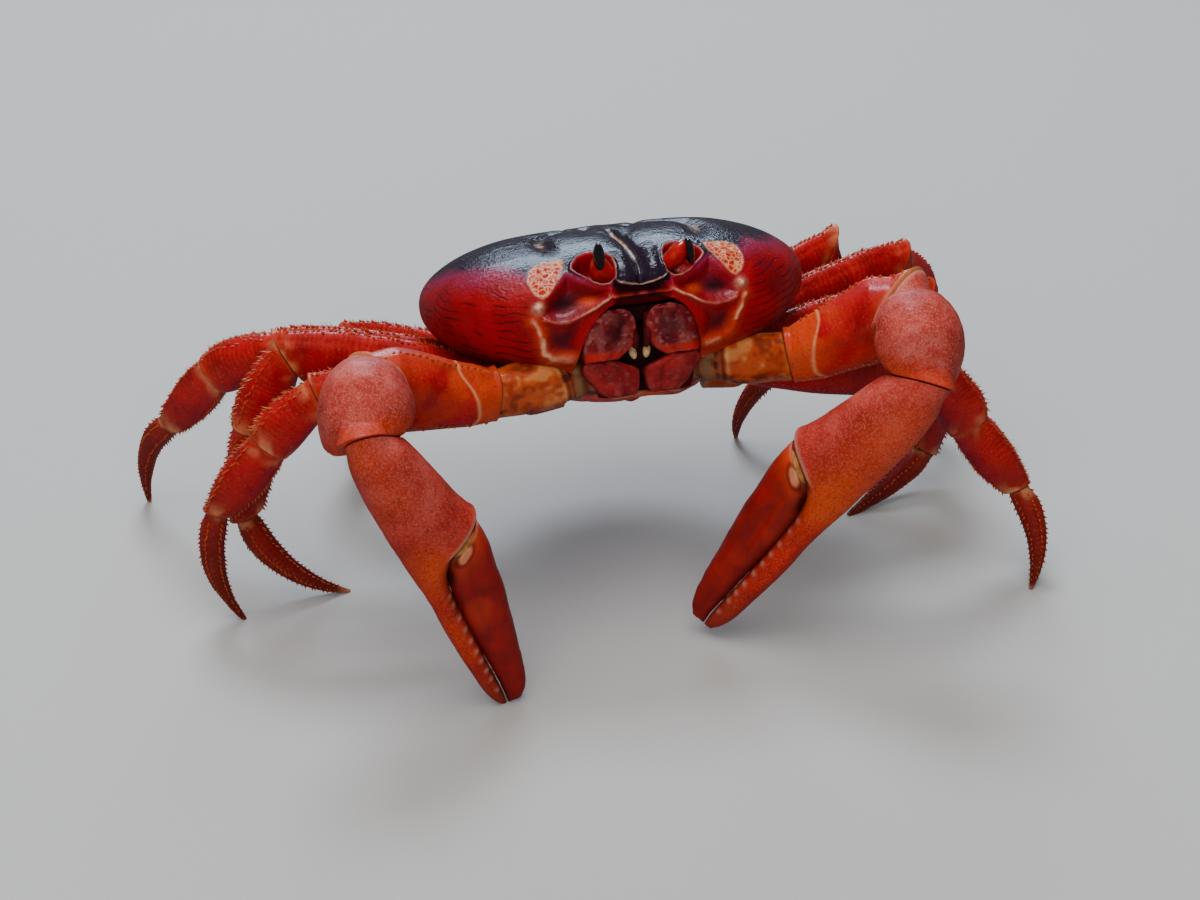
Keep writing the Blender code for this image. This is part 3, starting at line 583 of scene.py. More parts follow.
shellSkin, legSkin, clawSkin = makeShellFinish(), makeLegFinish(), makeClawFinish()
fingerSkin, spineAmber, bristleStraw, toothIvory = map(makePlainFinish, list(plainLooks)[:4])
mouthSkin, underSkin, hipSkin, jointSkin = map(makePlainFinish, list(plainLooks)[4:8])
eyeRed, corneaBlack, jawCream, shadowLining = map(makePlainFinish, list(plainLooks)[8:])
print("finishes made")


# the shell

shellPlan = {
    "stations": ((-28.0, 10.5, 0.5, -3.5, -8.0), (-26.6, 19.5, 4.8, -2.0, -11.5),
                 (-23.5, 27.0, 7.6, -1.0, -13.4), (-18.5, 32.6, 9.7, 0.0, -14.4),
                 (-11.0, 36.6, 11.2, 0.0, -14.4), (-2.0, 38.0, 12.0, 0.0, -13.8),
                 (8.0, 37.0, 11.6, 0.0, -12.5), (17.0, 33.0, 9.8, -0.5, -11.5),
                 (24.5, 26.6, 6.6, -1.5, -10.5), (30.0, 19.5, 2.8, -3.0, -9.5),
                 (33.5, 13.0, -1.2, -4.5, -8.5)),
    "fullness": 2.3,
    "columns": 860,
    "frontRows": 150,
    "backRows": 110,
    # rows that close the front and the back, and how far their middles stand out
    "caps": ((90, -0.9), (16, 0.9)),
}

# face features: distance from the face's own middle, and height as seen from in front
facePlan = {
    "orbit": ((5.1, 8.6), (6.1, 9.5), (7.5, 9.8), (9.4, 9.8), (11.2, 9.4), (12.7, 8.3), (13.0, 7.5),
              (12.2, 6.7), (10.9, 5.8), (9.4, 4.7), (7.9, 4.1), (6.4, 4.1), (5.2, 5.0), (4.9, 7.0)),
    "hollow": ((6.8, 2.6), (9.0, 2.9), (12.0, 4.6), (14.2, 6.6), (16.6, 3.6), (18.6, 1.6),
               (19.0, -0.6), (17.0, -1.5), (14.8, -1.7), (12.5, -1.1), (10.8, -0.3), (8.8, 0.6),
               (7.4, 1.4)),
    "ridge": ((19.6, -1.4), (17.2, -2.2), (14.8, -2.4), (12.7, -1.85), (10.9, -1.0), (8.9, -0.1),
              (7.1, 0.8), (6.0, 1.6), (5.2, 2.6)),
    "patch": ((14.2, 9.6), (16.6, 9.6), (19.0, 9.2), (20.7, 8.3), (21.3, 6.4), (21.1, 5.0),
              (20.4, 3.6), (19.2, 2.8), (18.2, 3.4), (17.0, 4.9), (15.6, 6.9), (14.4, 8.5)),
    "curl": ((21.0, -1.2), (20.2, -2.5), (19.6, -4.0), (19.1, -5.6), (18.6, -7.2), (17.3, -8.6),
             (15.3, -9.1), (13.0, -9.4)),
    "tubercle": (20.1, 0.95),
    # swells of the back: height, then place and reach across and along
    "swells": ((0.9, 21.0, 13.0, 1.0, 17.0), (0.8, 7.5, 6.5, -13.0, 9.0),
               (0.4, 0.0, 8.0, 13.0, 8.0)),
    "neck": ((14.2, -18.0), (15.4, -13.0), (16.0, -7.0), (14.6, -2.0), (10.5, 2.0), (6.0, 4.0),
             (3.0, 8.0)),
    "side": ((2.0, -9.0), (4.0, -3.0), (4.4, 3.0), (8.0, 9.5), (7.0, 15.0)),
    "cheek": ((12.6, -3.2), (15.0, -3.6), (18.0, -3.6), (18.3, -5.6), (17.6, -7.6), (15.0, -8.4),
              (12.6, -8.6)),
    # the face's middle line: place, slope and the height it starts to lean from
    "lean": (0.2, 0.125, 8.0),
    # shares of height and depth in the view from in front, the face's depth, and where it ends
    "view": (0.988, 0.156, 27.0), "frontal": (12.0, 18.5),
    # levels read at places across or along
    "brow": ((0.0, 2.2, 4.3, 5.6, 7.0), (3.05, 3.15, 3.65, 4.7, 6.0)),
    "darkAcross": ((0, 12, 18, 24, 30, 38), (5.5, 7.2, 9.0, 9.4, 9.0, 8.0)),
    "darkAlong": ((-20, -10, 5, 30), (0.0, 0.4, -1.5, -7.0)),
    "hem": ((12, 24, 38), (-12.9, -13.2, -12.0)),
    # how far each feature stands out or sinks in
    "heights": {"neck": 1.15, "side": 0.45, "lobe": 0.65, "orbit": 4.4, "orbitRim": 0.42,
                "hollow": 1.9, "ridge": 0.95, "ridgeLift": 0.10, "cheek": 1.1, "curl": 0.35,
                "slot": 1.9, "bar": 1.3, "browRim": 0.26, "tubercle": 0.85, "patch": 0.22,
                "net": 0.20, "swell": 0.10, "wobble": 0.05, "striae": 0.05},
}


def faceMiddle(z):
    # the face leans a little to the crab's right as it goes down
    place, slope, top = facePlan["lean"]
    return place + slope * (np.minimum(z, top) - top)


def faceView(points):
    # places on the body as seen from just above the front: across, height and how frontal
    x, y, z = np.moveaxis(points, -1, 0)
    rise, tilt, front = facePlan["view"]
    height = rise * z + tilt * (y + front)
    return np.abs(x - faceMiddle(z)), height, ramp(-y, *facePlan["frontal"])


def shellRings():
    plan = shellPlan
    table = np.array(plan["stations"])
    widest = 4.0                     # the station where the close front rows end
    front = widest * (np.linspace(0, 1, plan["frontRows"]) ** 1.25)
    back = np.linspace(widest, len(table) - 1, plan["backRows"] + 1)[1:]
    rows = smoothTable(table, np.concatenate([front, back]))
    _, across, rise = ringShape(plan["columns"], plan["fullness"])
    y, half, top, level, bottom = columnsOf(rows)
    z = level + rise[None] * np.where(rise[None] > 0, top - level, level - bottom)
    rings = gridOf(across[None] * half, y, z)
    caps = []
    for ring, (steps, swell) in zip((rings[0], rings[-1]), plan["caps"]):
        shares = 1 - (np.arange(steps) + 1) / (steps + 0.02)
        cap = drawnIn(ring, shares)
        cap[..., 1] += swell * (1 - shares[:, None] ** 2)
        caps.append(cap)
    return np.concatenate([caps[0][::-1], rings, caps[1]])


def sculptShell(points, normals):
    plan, tall = facePlan, facePlan["heights"]
    x, y, z = np.moveaxis(points, -1, 0)
    beside = np.abs(x)
    across, height, frontal = faceView(points)
    signed = x - faceMiddle(z)
    out = np.zeros(x.shape)          # along the surface's own normal
    push = np.zeros(points.shape)    # along a set way
    wobble = centred(points, 3.0, 3)
    # broad swells: the gills at each side, the stomach in front, the heart behind
    back = ramp(z, 3.0, 9.0)
    for swell, *place in plan["swells"]:
        out += swell * back * spot(beside, y, *place)
    # the grooves between them
    level = np.abs(x - np.where(y < -4.6, 0.9 + 0.067 * (y + 4.6), 0.9))
    neck, neckAlong = lineDistance(level, y, plan["neck"])
    out -= tall["neck"] * back * bump(neck, 1.8) * ramp(neckAlong, -0.05, 0.30)
    out -= tall["side"] * back * bump(lineDistance(level, y, plan["side"])[0], 1.2)
    # the middle groove that runs down between the two front lobes
    groove = ramp(-y, -2.0, 8.0) * ramp(height, 2.6, 3.6)
    out -= groove * (bump(signed, 0.75) + 0.65 * bump(signed, 2.4))
    lobes = frontal * ramp(height, 2.6, 4.2) * fall(height, 9.5, 11.5)
    out += tall["lobe"] * lobes * bump(across - 2.7, 1.9)
    # the eye hollows with their raised rims
    orbit = insideDepth(across, height, plan["orbit"])
    orbitOn = frontal * (z > 1.5)
    depth = tall["orbit"] * ramp(orbit, 0.0, 1.3) * orbitOn
    push[..., 1] += 0.62 * depth
    push[..., 2] -= 0.55 * depth
    out += tall["orbitRim"] * orbitOn * bump(orbit + 0.22, 0.30)
    # the hollow below each eye, and the thick ridge under it
    hollow = insideDepth(across, height, plan["hollow"])
    push[..., 1] += tall["hollow"] * ramp(hollow, -0.9, 2.4) * frontal * fall(orbit, -0.8, 0.0)
    waverA, waverB = (0.9 * centred(points, 1.7, seed) for seed in (47, 48))
    ridge, _ = lineDistance(across + 0.4 * waverA, height + 0.4 * waverB, plan["ridge"])
    ridgeOn = ramp(across, 5.2, 7.0) * fall(across, 19.0, 20.2) * frontal
    push[..., 1] -= tall["ridge"] * bump(ridge + 0.05, 0.85) * ridgeOn
    push[..., 2] += tall["ridgeLift"] * bump(ridge, 0.8) * ridgeOn
    # the cheek beside the mouth sinks, with a pale line round it
    cheek = insideDepth(across, height, plan["cheek"])
    push[..., 1] += tall["cheek"] * ramp(cheek, -0.8, 1.8) * frontal
    curl, curlAlong = lineDistance(across + waverA, height + waverB, plan["curl"])
    out += tall["curl"] * bump(curl, 0.7) * frontal
    # brow edge, the slot under it and the narrow bar above the mouth
    brow = np.interp(across, *plan["brow"])
    under = ramp(brow - height, -0.05, 0.35) * frontal * (z > -1.5) * fall(across, 3.6, 6.2)
    push[..., 1] += tall["slot"] * under
    bar = bump(height - 1.2, 0.42) * fall(across, 5.0, 6.4) * frontal
    push[..., 1] -= tall["bar"] * bar
    rim = bump(height - brow - 0.18, 0.20) * fall(across, 4.6, 5.6) * frontal
    out += tall["browRim"] * rim
    # pale bumps and patches
    tub = np.hypot(across - plan["tubercle"][0], height - plan["tubercle"][1])
    out += tall["tubercle"] * bump(tub, 0.85) * frontal
    patch = insideDepth(across, height, plan["patch"])
    patchFront = frontal * (z > 0)
    patchOn = ramp(patch, -0.15, 0.15) * patchFront
    out -= tall["patch"] * ramp(patch, -0.2, 0.5) * patchFront
    out += tall["net"] * patchOn * patchy(points, 0.75, 11, 0.45, 0.75)
    # fine relief everywhere, and the thin lines of the flanks
    out += tall["swell"] * centred(points, 5.0, 5) + tall["wobble"] * wobble
    flank = ramp(beside, 16, 26) * fall(z, 3.0, 7.0) * ramp(z, -13.5, -10.5)
    sweep = z - 0.012 * (beside - 20) * (beside - 12) + 2.4 * softNoise(points, 6.0, 21)
    sweep = sweep + 0.40 * softNoise(points, 1.4, 22)
    striae = flank * ramp(np.sin(sweep * 2 * math.pi / 1.5), 0.62, 0.95)
    striae = striae * patchy(points, 3.0, 23, 0.34, 0.60)
    out -= tall["striae"] * striae
    # colours: the dark of the back, which stops at the hollows and patches
    level = np.interp(beside, *plan["darkAcross"]) + np.interp(y, *plan["darkAlong"])
    dark = ramp(z + 2.2 * centred(points, 9.0, 41) + wobble, level - 5.0, level + 1.4)
    dark = np.maximum(dark, fall(across, 5.2, 6.0) * ramp(height, 2.9, 3.3) * frontal)
    dark = dark * (1 - 0.75 * ramp(hollow, -1.6, 0.2) * frontal * (across > 5.5))
    browDark = 0.08 * ramp(z, 2.0, 4.5) * bump(orbit + 1.6, 1.0) * (across < 12.5)
    dark = clipped(np.maximum(dark, browDark * frontal))
    dark *= 1 - ramp(orbit, -0.5, 0.1) * orbitOn
    dark *= 1 - patchOn
    # cream: rims, the middle groove, the ridges and bumps of the face, and the hem
    broken = 0.35 + 0.65 * patchy(points, 1.8, 46, 0.30, 0.65)
    curlOn = bump(curl, 0.42) * frontal * patchy(points, 2.2, 8, 0.28, 0.52)
    notch = bump(neck, 0.8) * bump(y + 6.5, 3.2) * back * patchy(points, 1.1, 44, 0.35, 0.6)
    cream = strongest(
        0.44 * bump(orbit + 0.17, 0.12) * orbitOn * broken * (1 - 0.6 * ramp(height, 7.5, 9.5)),
        groove * bump(signed, 0.26) * (0.02 + 0.86 * ramp(height, 8.6, 10.6))
        * patchy(points, 1.5, 45, 0.15, 0.45),
        0.60 * bump(ridge - 0.05, 0.14) * ridgeOn * (1 - 0.75 * ramp(across, 10.5, 13.0)),
        bump(tub, 0.95) * frontal,
        0.95 * curlOn * (1 - 0.65 * ramp(curlAlong, 0.60, 0.80)),
        0.50 * bump(patch, 0.20) * patchFront, 0.45 * rim, 0.40 * notch,
        0.55 * bump(z - np.interp(beside, *plan["hem"]), 0.35) * (y > -25))
    warmth = strongest(
        0.9 * spot(across, height, 10.4, 1.6, 0.9, 0.8) * frontal,
        0.55 * bump(curl, 1.3) * frontal,
        0.6 * ramp(orbit, 0.0, 1.0) * bump(height - 5.4, 1.4) * orbitOn,
        0.30 * bar * patchy(points, 1.6, 49, 0.45, 0.70),
        0.55 * ramp(-z, 10.0, 12.5) * ramp(-y, 14.0, 20.0))
    shade = strongest(
        0.96 * ramp(hollow, 0.0, 2.0) * spot(across, height, 15.0, 4.4, 0.8, 3.3) * frontal,
        0.97 * under * (1 - 0.35 * bar),
        0.75 * ramp(cheek + waverA, -0.8, 2.4) * frontal,
        0.30 * ramp(hollow, -0.8, 0.3) * frontal)
    marks = {"darkness": dark, "cream": clipped(cream), "warmth": clipped(warmth),
             "shade": clipped(shade), "stipple": patchOn, "striae": striae}
    return points + normals * out[..., None] + push, marks


archPlan = {
    "outline": ((-12.4, -30.0), (-12.4, -11.5), (-12.0, -9.0), (-11.2, -6.2), (-10.0, -3.6),
                (-8.4, -1.6), (-6.4, -0.2), (-4.5, 0.35)),
    "depth": (-40.0, -20.0), "foot": -20, "footShift": -2.2,
}


def archCutter():
    # the arched room that the mouth parts fill, from the floor of the shell up to the brow
    plan = archPlan
    outline = plan["outline"] + tuple((-x, z) for x, z in plan["outline"][::-1])
    outline = [(x + (float(faceMiddle(z)) if z > plan["foot"] else plan["footShift"]), z)
               for x, z in outline]
    n = len(outline)
    points = [(x, y, z) for y in plan["depth"] for x, z in outline]
    mesh = bpy.data.meshes.new("mouthRoom")
    faces = [tuple(range(n)), tuple(reversed(range(n, 2 * n)))]
    faces += [(k, n + k, n + (k + 1) % n, (k + 1) % n) for k in range(n)]
    mesh.from_pydata(((toFloor(points) + standShift) * millimetre).tolist(), [], faces)
    bm = bmesh.new()
    bm.from_mesh(mesh)
    bmesh.ops.recalc_face_normals(bm, faces=bm.faces)
    bm.to_mesh(mesh)
    bm.free()
    return placed("mouthRoom", mesh)


def carveWith(piece, cutter):
    boolean = piece.modifiers.new("room", "BOOLEAN")
    boolean.operation, boolean.object, boolean.solver = "DIFFERENCE", cutter, "MANIFOLD"
    deps = bpy.context.evaluated_depsgraph_get()
    made = bpy.data.meshes.new_from_object(piece.evaluated_get(deps))
    piece.modifiers.clear()
    old = piece.data
    piece.data = made
    bpy.data.meshes.remove(old)
    bpy.data.objects.remove(cutter)


def makeShell():
    rings = shellRings()
    rings, marks = sculptShell(rings, outwardOf(rings))
    shaped = toFloor(rings)
    marks = {key: value.ravel() for key, value in marks.items()}
    patch = (shaped, closedFaces(shaped), shellSkin, marks)
    shell = buildMesh("shell", [patch], "carapace")
    carveWith(shell, archCutter())
    shell.data.materials.clear()
    shell.data.materials.append(shellSkin)


makeShell()
print("shell shaped")


# limbs: tubes with mitred ends

# place along a piece, then the shares of its size above, below and at the sides
formTables = {
    "coxa": ((0.0, 0.95, 0.95, 0.95), (0.5, 1.0, 1.0, 1.0), (0.8, 1.0, 1.0, 1.0),
             (1.0, 0.86, 0.86, 0.86)),
    "basis": ((0.0, 0.84, 0.82, 0.88), (0.3, 1.0, 0.95, 1.0), (0.7, 1.0, 1.0, 1.0),
              (1.0, 0.92, 0.92, 0.95)),
    "merus": ((0.0, 0.68, 0.68, 0.76), (0.14, 0.86, 0.82, 0.95), (0.40, 1.0, 1.0, 1.0),
              (0.74, 1.0, 0.98, 0.98), (0.90, 0.88, 0.86, 0.90), (1.0, 0.72, 0.74, 0.80)),
    "carpus": ((0.0, 0.66, 0.70, 0.76), (0.28, 0.94, 0.84, 0.94), (0.62, 1.12, 0.92, 1.0),
               (0.86, 1.06, 0.92, 0.98), (1.0, 0.92, 0.86, 0.92)),
    "propodus": ((0.0, 0.88, 0.84, 0.90), (0.18, 1.0, 0.94, 0.98), (0.52, 1.0, 1.0, 1.0),
                 (0.84, 0.80, 0.80, 0.88), (1.0, 0.60, 0.60, 0.76)),
    "dactylus": ((0.0, 0.78, 0.78, 0.84), (0.14, 1.0, 1.0, 1.0), (0.40, 0.84, 0.84, 0.84),
                 (0.66, 0.60, 0.60, 0.62), (0.86, 0.36, 0.36, 0.38), (1.0, 0.16, 0.16, 0.20)),
    "handCarpus": ((0.0, 0.52, 0.52, 0.56), (0.16, 0.84, 0.80, 0.84), (0.42, 1.0, 1.0, 1.0),
                   (0.68, 0.96, 0.96, 0.98), (0.86, 0.72, 0.74, 0.80), (1.0, 0.44, 0.46, 0.56)),
    "handMerus": ((0.0, 0.62, 0.62, 0.70), (0.20, 0.80, 0.78, 0.88), (0.55, 0.96, 0.92, 1.0),
                  (0.84, 1.0, 1.0, 1.0), (1.0, 0.78, 0.80, 0.84)),
}
jointGap, floorGap = 0.3, 0.02
sideSigns = {"left": 1, "right": -1}


def headingOf(bearing, slope, sign):
    b, s = math.radians(bearing), math.radians(slope)
    return np.array([sign * math.cos(b) * math.cos(s), -math.sin(b) * math.cos(s), math.sin(s)])


def backOf(bearing, slope, sign):
    b, s = math.radians(bearing), math.radians(slope)
    return np.array([-sign * math.cos(b) * math.sin(s), math.sin(b) * math.sin(s), math.cos(s)])


def hipAndRoot(plan, sign):
    # where a limb leaves the body, and the place inside it that the first piece grows from
    hip = toFloor(np.array(plan["hip"]) * (sign, 1, 1))
    return hip, toFloor((sign * plan["root"][0], plan["root"][1], plan["hip"][2] + 0.5))


class Tube:
    # one limb piece: where it starts, how it runs, and its skin as a grid of points
    def __init__(self, start, way, back, length, size, form, bow=0.0):
        self.start, self.way, self.length = np.array(start), unit(way), length
        self.back, self.size, self.bow = squareTo(back, self.way), size, bow
        self.form = np.array(formTables[form])
        self.side = np.cross(self.way, self.back)
        self.planes = [None, None]

    def offsets(self, place, across, rise):
        high, low, half = np.moveaxis(byPlace(self.form, clipped(place)), -1, 0)
        up = np.where(rise > 0, rise * high, rise * low) * self.size[0]
        shift = self.side * (across * half * self.size[1])[..., None] + self.back * up[..., None]
        bend = 4 * clipped(place) * (1 - clipped(place)) * self.bow * self.length
        return shift + self.back * bend[..., None]

    def limits(self, which, across, rise):
        place = np.full(across.shape, float(which))
        if self.planes[which] is None:
            return place
        point, normal = self.planes[which]
        # the skin narrows towards the end, so its plane is met in a few steps
        for _ in range(4):
            gap = (point - self.start - self.offsets(place, across, rise)) @ normal
            place = gap / (self.way @ normal) / self.length
        return place

    def grid(self, rows, columns):
        angle, across, rise = ringShape(columns, 2.3)
        low, high = self.limits(0, across, rise), self.limits(1, across, rise)
        place = low[None] + (high - low)[None] * np.linspace(0, 1, rows)[:, None]
        shift = self.offsets(place, np.broadcast_to(across, place.shape),
                             np.broadcast_to(rise, place.shape))
        self.place = place
        self.fromStart, self.toEnd = (place - low) * self.length, (high - place) * self.length
        self.points = self.start + self.way * (place * self.length)[..., None] + shift
        self.normals = outwardOf(self.points)
        self.round = np.broadcast_to(np.degrees(angle), place.shape)
        self.up = np.sin(np.radians(self.round))
        return self

    def raised(self, amount):
        # keeps both end rings where the joints are
        rows = len(self.points)
        end = np.minimum(np.arange(rows), np.arange(rows)[::-1]) / 4.0
        self.points = self.points + self.normals * (amount * clipped(end)[:, None])[..., None]

    def closedRound(self, joint, normal, neck, widest, reach):
        # draws the end in to a narrow neck at a joint
        depth = np.maximum((joint - self.points) @ normal, 0.0)
        share = clipped(depth / reach)
        limit = neck + (widest - neck) * np.sqrt(1 - (1 - share) ** 2)
        centre = joint - depth[..., None] * normal
        arm = self.points - centre
        size = np.linalg.norm(arm, axis=-1)
        pull = np.where((share < 1) & (size > limit), limit / np.maximum(size, 1e-9), 1.0)
        self.points = centre + arm * pull[..., None]
        self.normals = outwardOf(self.points)

    def spots(self, angle, places, spread=0.0, seed=0):
        # points on the skin, with the ways out of it
        rng = np.random.default_rng(seed)
        places = np.asarray(places, float)
        rows, columns = self.points.shape[:2]
        row = np.clip((places * (rows - 1)).round().astype(int), 0, rows - 1)
        turn = (angle + rng.uniform(-spread, spread, len(places))) / 360 * columns - 0.5
        column = turn.round().astype(int) % columns
        return self.points[row, column], self.normals[row, column]


def mitre(first, second, joint):
    normal = unit(first.way + second.way)
    first.planes[1] = (joint - normal * jointGap / 2, normal)
    second.planes[0] = (joint + normal * jointGap / 2, normal)


# how far a spine's place and way may stray, the range of sizes, and its tip's least height
spineDetail = {"shift": 0.25, "sway": 0.12, "sizes": (0.75, 1.2), "clear": 0.15}


def spineRow(tube, angle, first, last, gap, height, radius, finish, lean, seed, spread, sides=6,
             taper=0.0):
    rng, detail = np.random.default_rng(seed), spineDetail
    count = max(int((last - first) * tube.length / gap), 2)
    shift = rng.uniform(-detail["shift"], detail["shift"], count) * (last - first) / count
    places = np.linspace(first, last, count) + shift
    roots, outs = tube.spots(angle, places, spread, seed)
    sway = rng.uniform(-detail["sway"], detail["sway"], outs.shape)
    ways = eachUnit(outs + tube.way * lean + sway)
    size = (1 - taper * places) * rng.uniform(*detail["sizes"], count)
    keep = (roots + ways * (height * size)[:, None])[:, 2] > detail["clear"]
    return coneField(roots[keep], ways[keep], (height * size)[keep],
                     radius * (0.6 + 0.4 * size[keep]), finish, sides)


def jointBarrel(first, second, joint, share=0.80, reach=1.6):
    # the soft skin that shows between two pieces
    normal = unit(first.way + second.way)
    columns, rows = 40, 9
    _, across, rise = ringShape(columns, 2.2)
    a = first.offsets(np.full(columns, 1.0), across, rise)
    b = second.offsets(np.full(columns, 0.0), across, rise)
    a = a - np.outer(a @ normal, normal)
    b = b - np.outer(b @ normal, normal)
    size = np.minimum(np.linalg.norm(a, axis=1).mean(), np.linalg.norm(b, axis=1).mean())
    ring = a * share * size / np.linalg.norm(a, axis=1).mean()
    steps = np.linspace(-1, 1, rows)
    rings = [joint + ring * (1 - 0.10 * abs(t)) + (first.way if t < 0 else second.way) * t * reach
             for t in steps]
    return tubePatch(np.array(rings), jointSkin, {})


# walking legs

legPlan = {
    "leg_1": {"hip": (23.0, -10.5, -17.0), "root": (14.6, -10.4), "lengths": (39.0, 15.0, 19.0),
              "sizes": ((4.6, 3.5), (5.9, 3.5), (4.9, 3.6), (4.6, 3.0), (2.8, 2.3)),
              "right": ((-10, 4), (-10, -49), (-14, -54), (-12, -98)),
              "left": ((14, -4), (5, -64), (16, -54), (92, -58))},
    "leg_2": {"hip": (25.0, -1.0, -16.0), "root": (16.0, -1.0), "lengths": (42.0, 18.0, 21.0),
              "sizes": ((4.8, 3.6), (6.3, 3.7), (5.2, 3.8), (4.8, 3.1), (2.9, 2.4)),
              "right": ((-13, 12), (-4, -67), (-9, -81), (-16, -137)),
              "left": ((-10, 1), (-13, -70), (-8, -98), (-18, -155))},
    "leg_3": {"hip": (24.0, 9.0, -15.0), "root": (15.1, 8.4), "lengths": (42.0, 17.0, 20.0),
              "sizes": ((4.7, 3.5), (6.1, 3.6), (5.0, 3.7), (4.6, 3.0), (2.8, 2.3)),
              "right": ((-16, 8), (-35, -31), (-46, -52), (-64, -66)),
              "left": ((-9, 12), (-38, -53), (-42, -70), (-22, -122))},
    "leg_4": {"hip": (20.0, 16.0, -15.5), "root": (12.1, 16.9), "lengths": (35.0, 14.0, 17.0),
              "sizes": ((4.0, 3.2), (5.4, 3.3), (4.4, 3.4), (4.2, 2.8), (2.6, 2.1)),
              "right": ((-43, -5), (-63, -74), (47, -115), (74, -155)),
              "left": ((-16, 20), (-29, -81), (15, -122), (50, -117))},
}
legDetail = {"rugaeHeight": 0.09, "rugaeGap": 1.05, "rowLength": 0.30, "swell": 0.25,
             "groove": 0.16, "crest": 0.30, "besideCrest": 0.20,
             "columns": {"coxa": 64, "merus": 84, "carpus": 76, "propodus": 76, "dactylus": 64},
             "bow": 0.12, "straightBow": 0.04,
             "seeds": {"first": 100, "limb": 1000, "left": 500, "part": 40}}
# rows of spines: angles round the piece, first and last place, gap, height, radius, finish, lean,
# what the seed adds (None: the angle), spread, sides, taper
legSpines = {
    "coxa": (),
    "merus": (((90,), 0.10, 0.97, 1.0, 0.62, 0.30, spineAmber, 0.9, 0, 5, 6, 0.0),
              ((90,), 0.10, 0.97, 0.55, 0.80, 0.08, bristleStraw, 0.5, 1, 10, 4, 0.0),
              ((212, 328), 0.15, 0.97, 1.5, 0.35, 0.26, spineAmber, 0.6, None, 5, 6, 0.0)),
    "carpus": (((62, 90, 118), 0.15, 0.95, 0.98, 0.50, 0.26, spineAmber, 0.9, None, 6, 6, 0.0),
               ((90,), 0.10, 0.97, 0.45, 1.05, 0.08, bristleStraw, 0.5, 91, 12, 4, 0.0)),
    "propodus": (((60, 120, 240, 300), 0.08, 0.96, 0.98, 0.80, 0.23, spineAmber, 0.8, None, 4, 6,
                  0.0),
                 ((90, 270), 0.08, 0.96, 0.55, 0.75, 0.08, bristleStraw, 0.5, None, 10, 4, 0.0)),
    "dactylus": (((30, 90, 150, 210, 270, 330), 0.06, 0.90, 0.98, 0.80, 0.23, spineAmber, 0.75,
                  None, 3, 6, 0.45),),
}
legParts = ("coxa", "merus", "carpus", "propodus", "dactylus")


def rugae(tube, gap, seed):
    # short raised folds across a piece
    along = tube.place * tube.length
    warp = softNoise(tube.points, 4.5, seed) * 1.6 + softNoise(tube.points, 1.7, seed + 1) * 0.5
    wave = np.sin(2 * math.pi * (along / gap + warp))
    broken = patchy(tube.points, 2.0, seed + 2, 0.30, 0.55)
    return ramp(wave, 0.1, 0.95) * broken


def legPiece(part, tube, seed):
    tube.grid(int(tube.length / legDetail["rowLength"]) + 12, legDetail["columns"][part])
    fold = rugae(tube, legDetail["rugaeGap"], seed)
    upper = ramp(tube.up, -0.35, 0.45)
    wobble = centred(tube.points, 5.0, seed + 5)
    height = legDetail["rugaeHeight"] * fold * (0.25 + 0.75 * upper)
    if part in ("propodus", "dactylus"):
        # long shallow grooves between the rows of spines
        height = height * 0.8 - legDetail["groove"] * bump(tube.round % 60 - 30, 11)
    if part == "merus":
        # the crest, with a groove at each side
        height = height + legDetail["crest"] * bump(tube.round - 90, 14)
        height = height - legDetail["besideCrest"] * bump(np.abs(tube.round - 90) - 34, 12)
    tube.raised(height + legDetail["swell"] * wobble)
    place = clipped(tube.place)
    ends, joints = (np.maximum(bump(tube.fromStart, reach), bump(tube.toEnd, reach))
                    for reach in (0.6, 2.2))
    blotch = patchy(tube.points, 2.6, seed + 9, 0.50, 0.75)
    tint = 0.4 + softNoise(tube.points, 6.0, seed + 7)
    marks = {"relief": fold * upper, "cream": clipped(0.12 * ends + 0.50 * joints * blotch),
             # underTint is painted shade: a darker violet on the side of the piece facing down
             "underTint": 0.65 * ramp(-tube.up, 0.15, 0.9) * tint,
             "warmth": clipped(0.7 * joints * (0.4 + 0.6 * blotch))}
    if part == "coxa":
        marks = {"cream": ends * 0.5, "shade": 0.5 * ramp(-tube.up, 0.1, 0.9)}
    if part == "dactylus":
        marks["brownness"] = 0.66 + 0.28 * ramp(place, 0.1, 0.9)
        marks["warmth"] = 0.25 * ramp(-place, -0.35, 0.0)
        tube.points[..., 2] = np.maximum(tube.points[..., 2], floorGap)
    if part == "propodus":
        marks["brownness"] = 0.10 + 0.40 * ramp(place, 0.35, 1.0)
    patches = [tubePatch(tube.points, hipSkin if part == "coxa" else legSkin, marks)]
    for angles, *shape, lean, step, spread, sides, taper in legSpines[part]:
        for angle in angles:
            mine = seed + (angle if step is None else step)
            patches.append(spineRow(tube, angle, *shape, lean, mine, spread, sides, taper))
    return patches


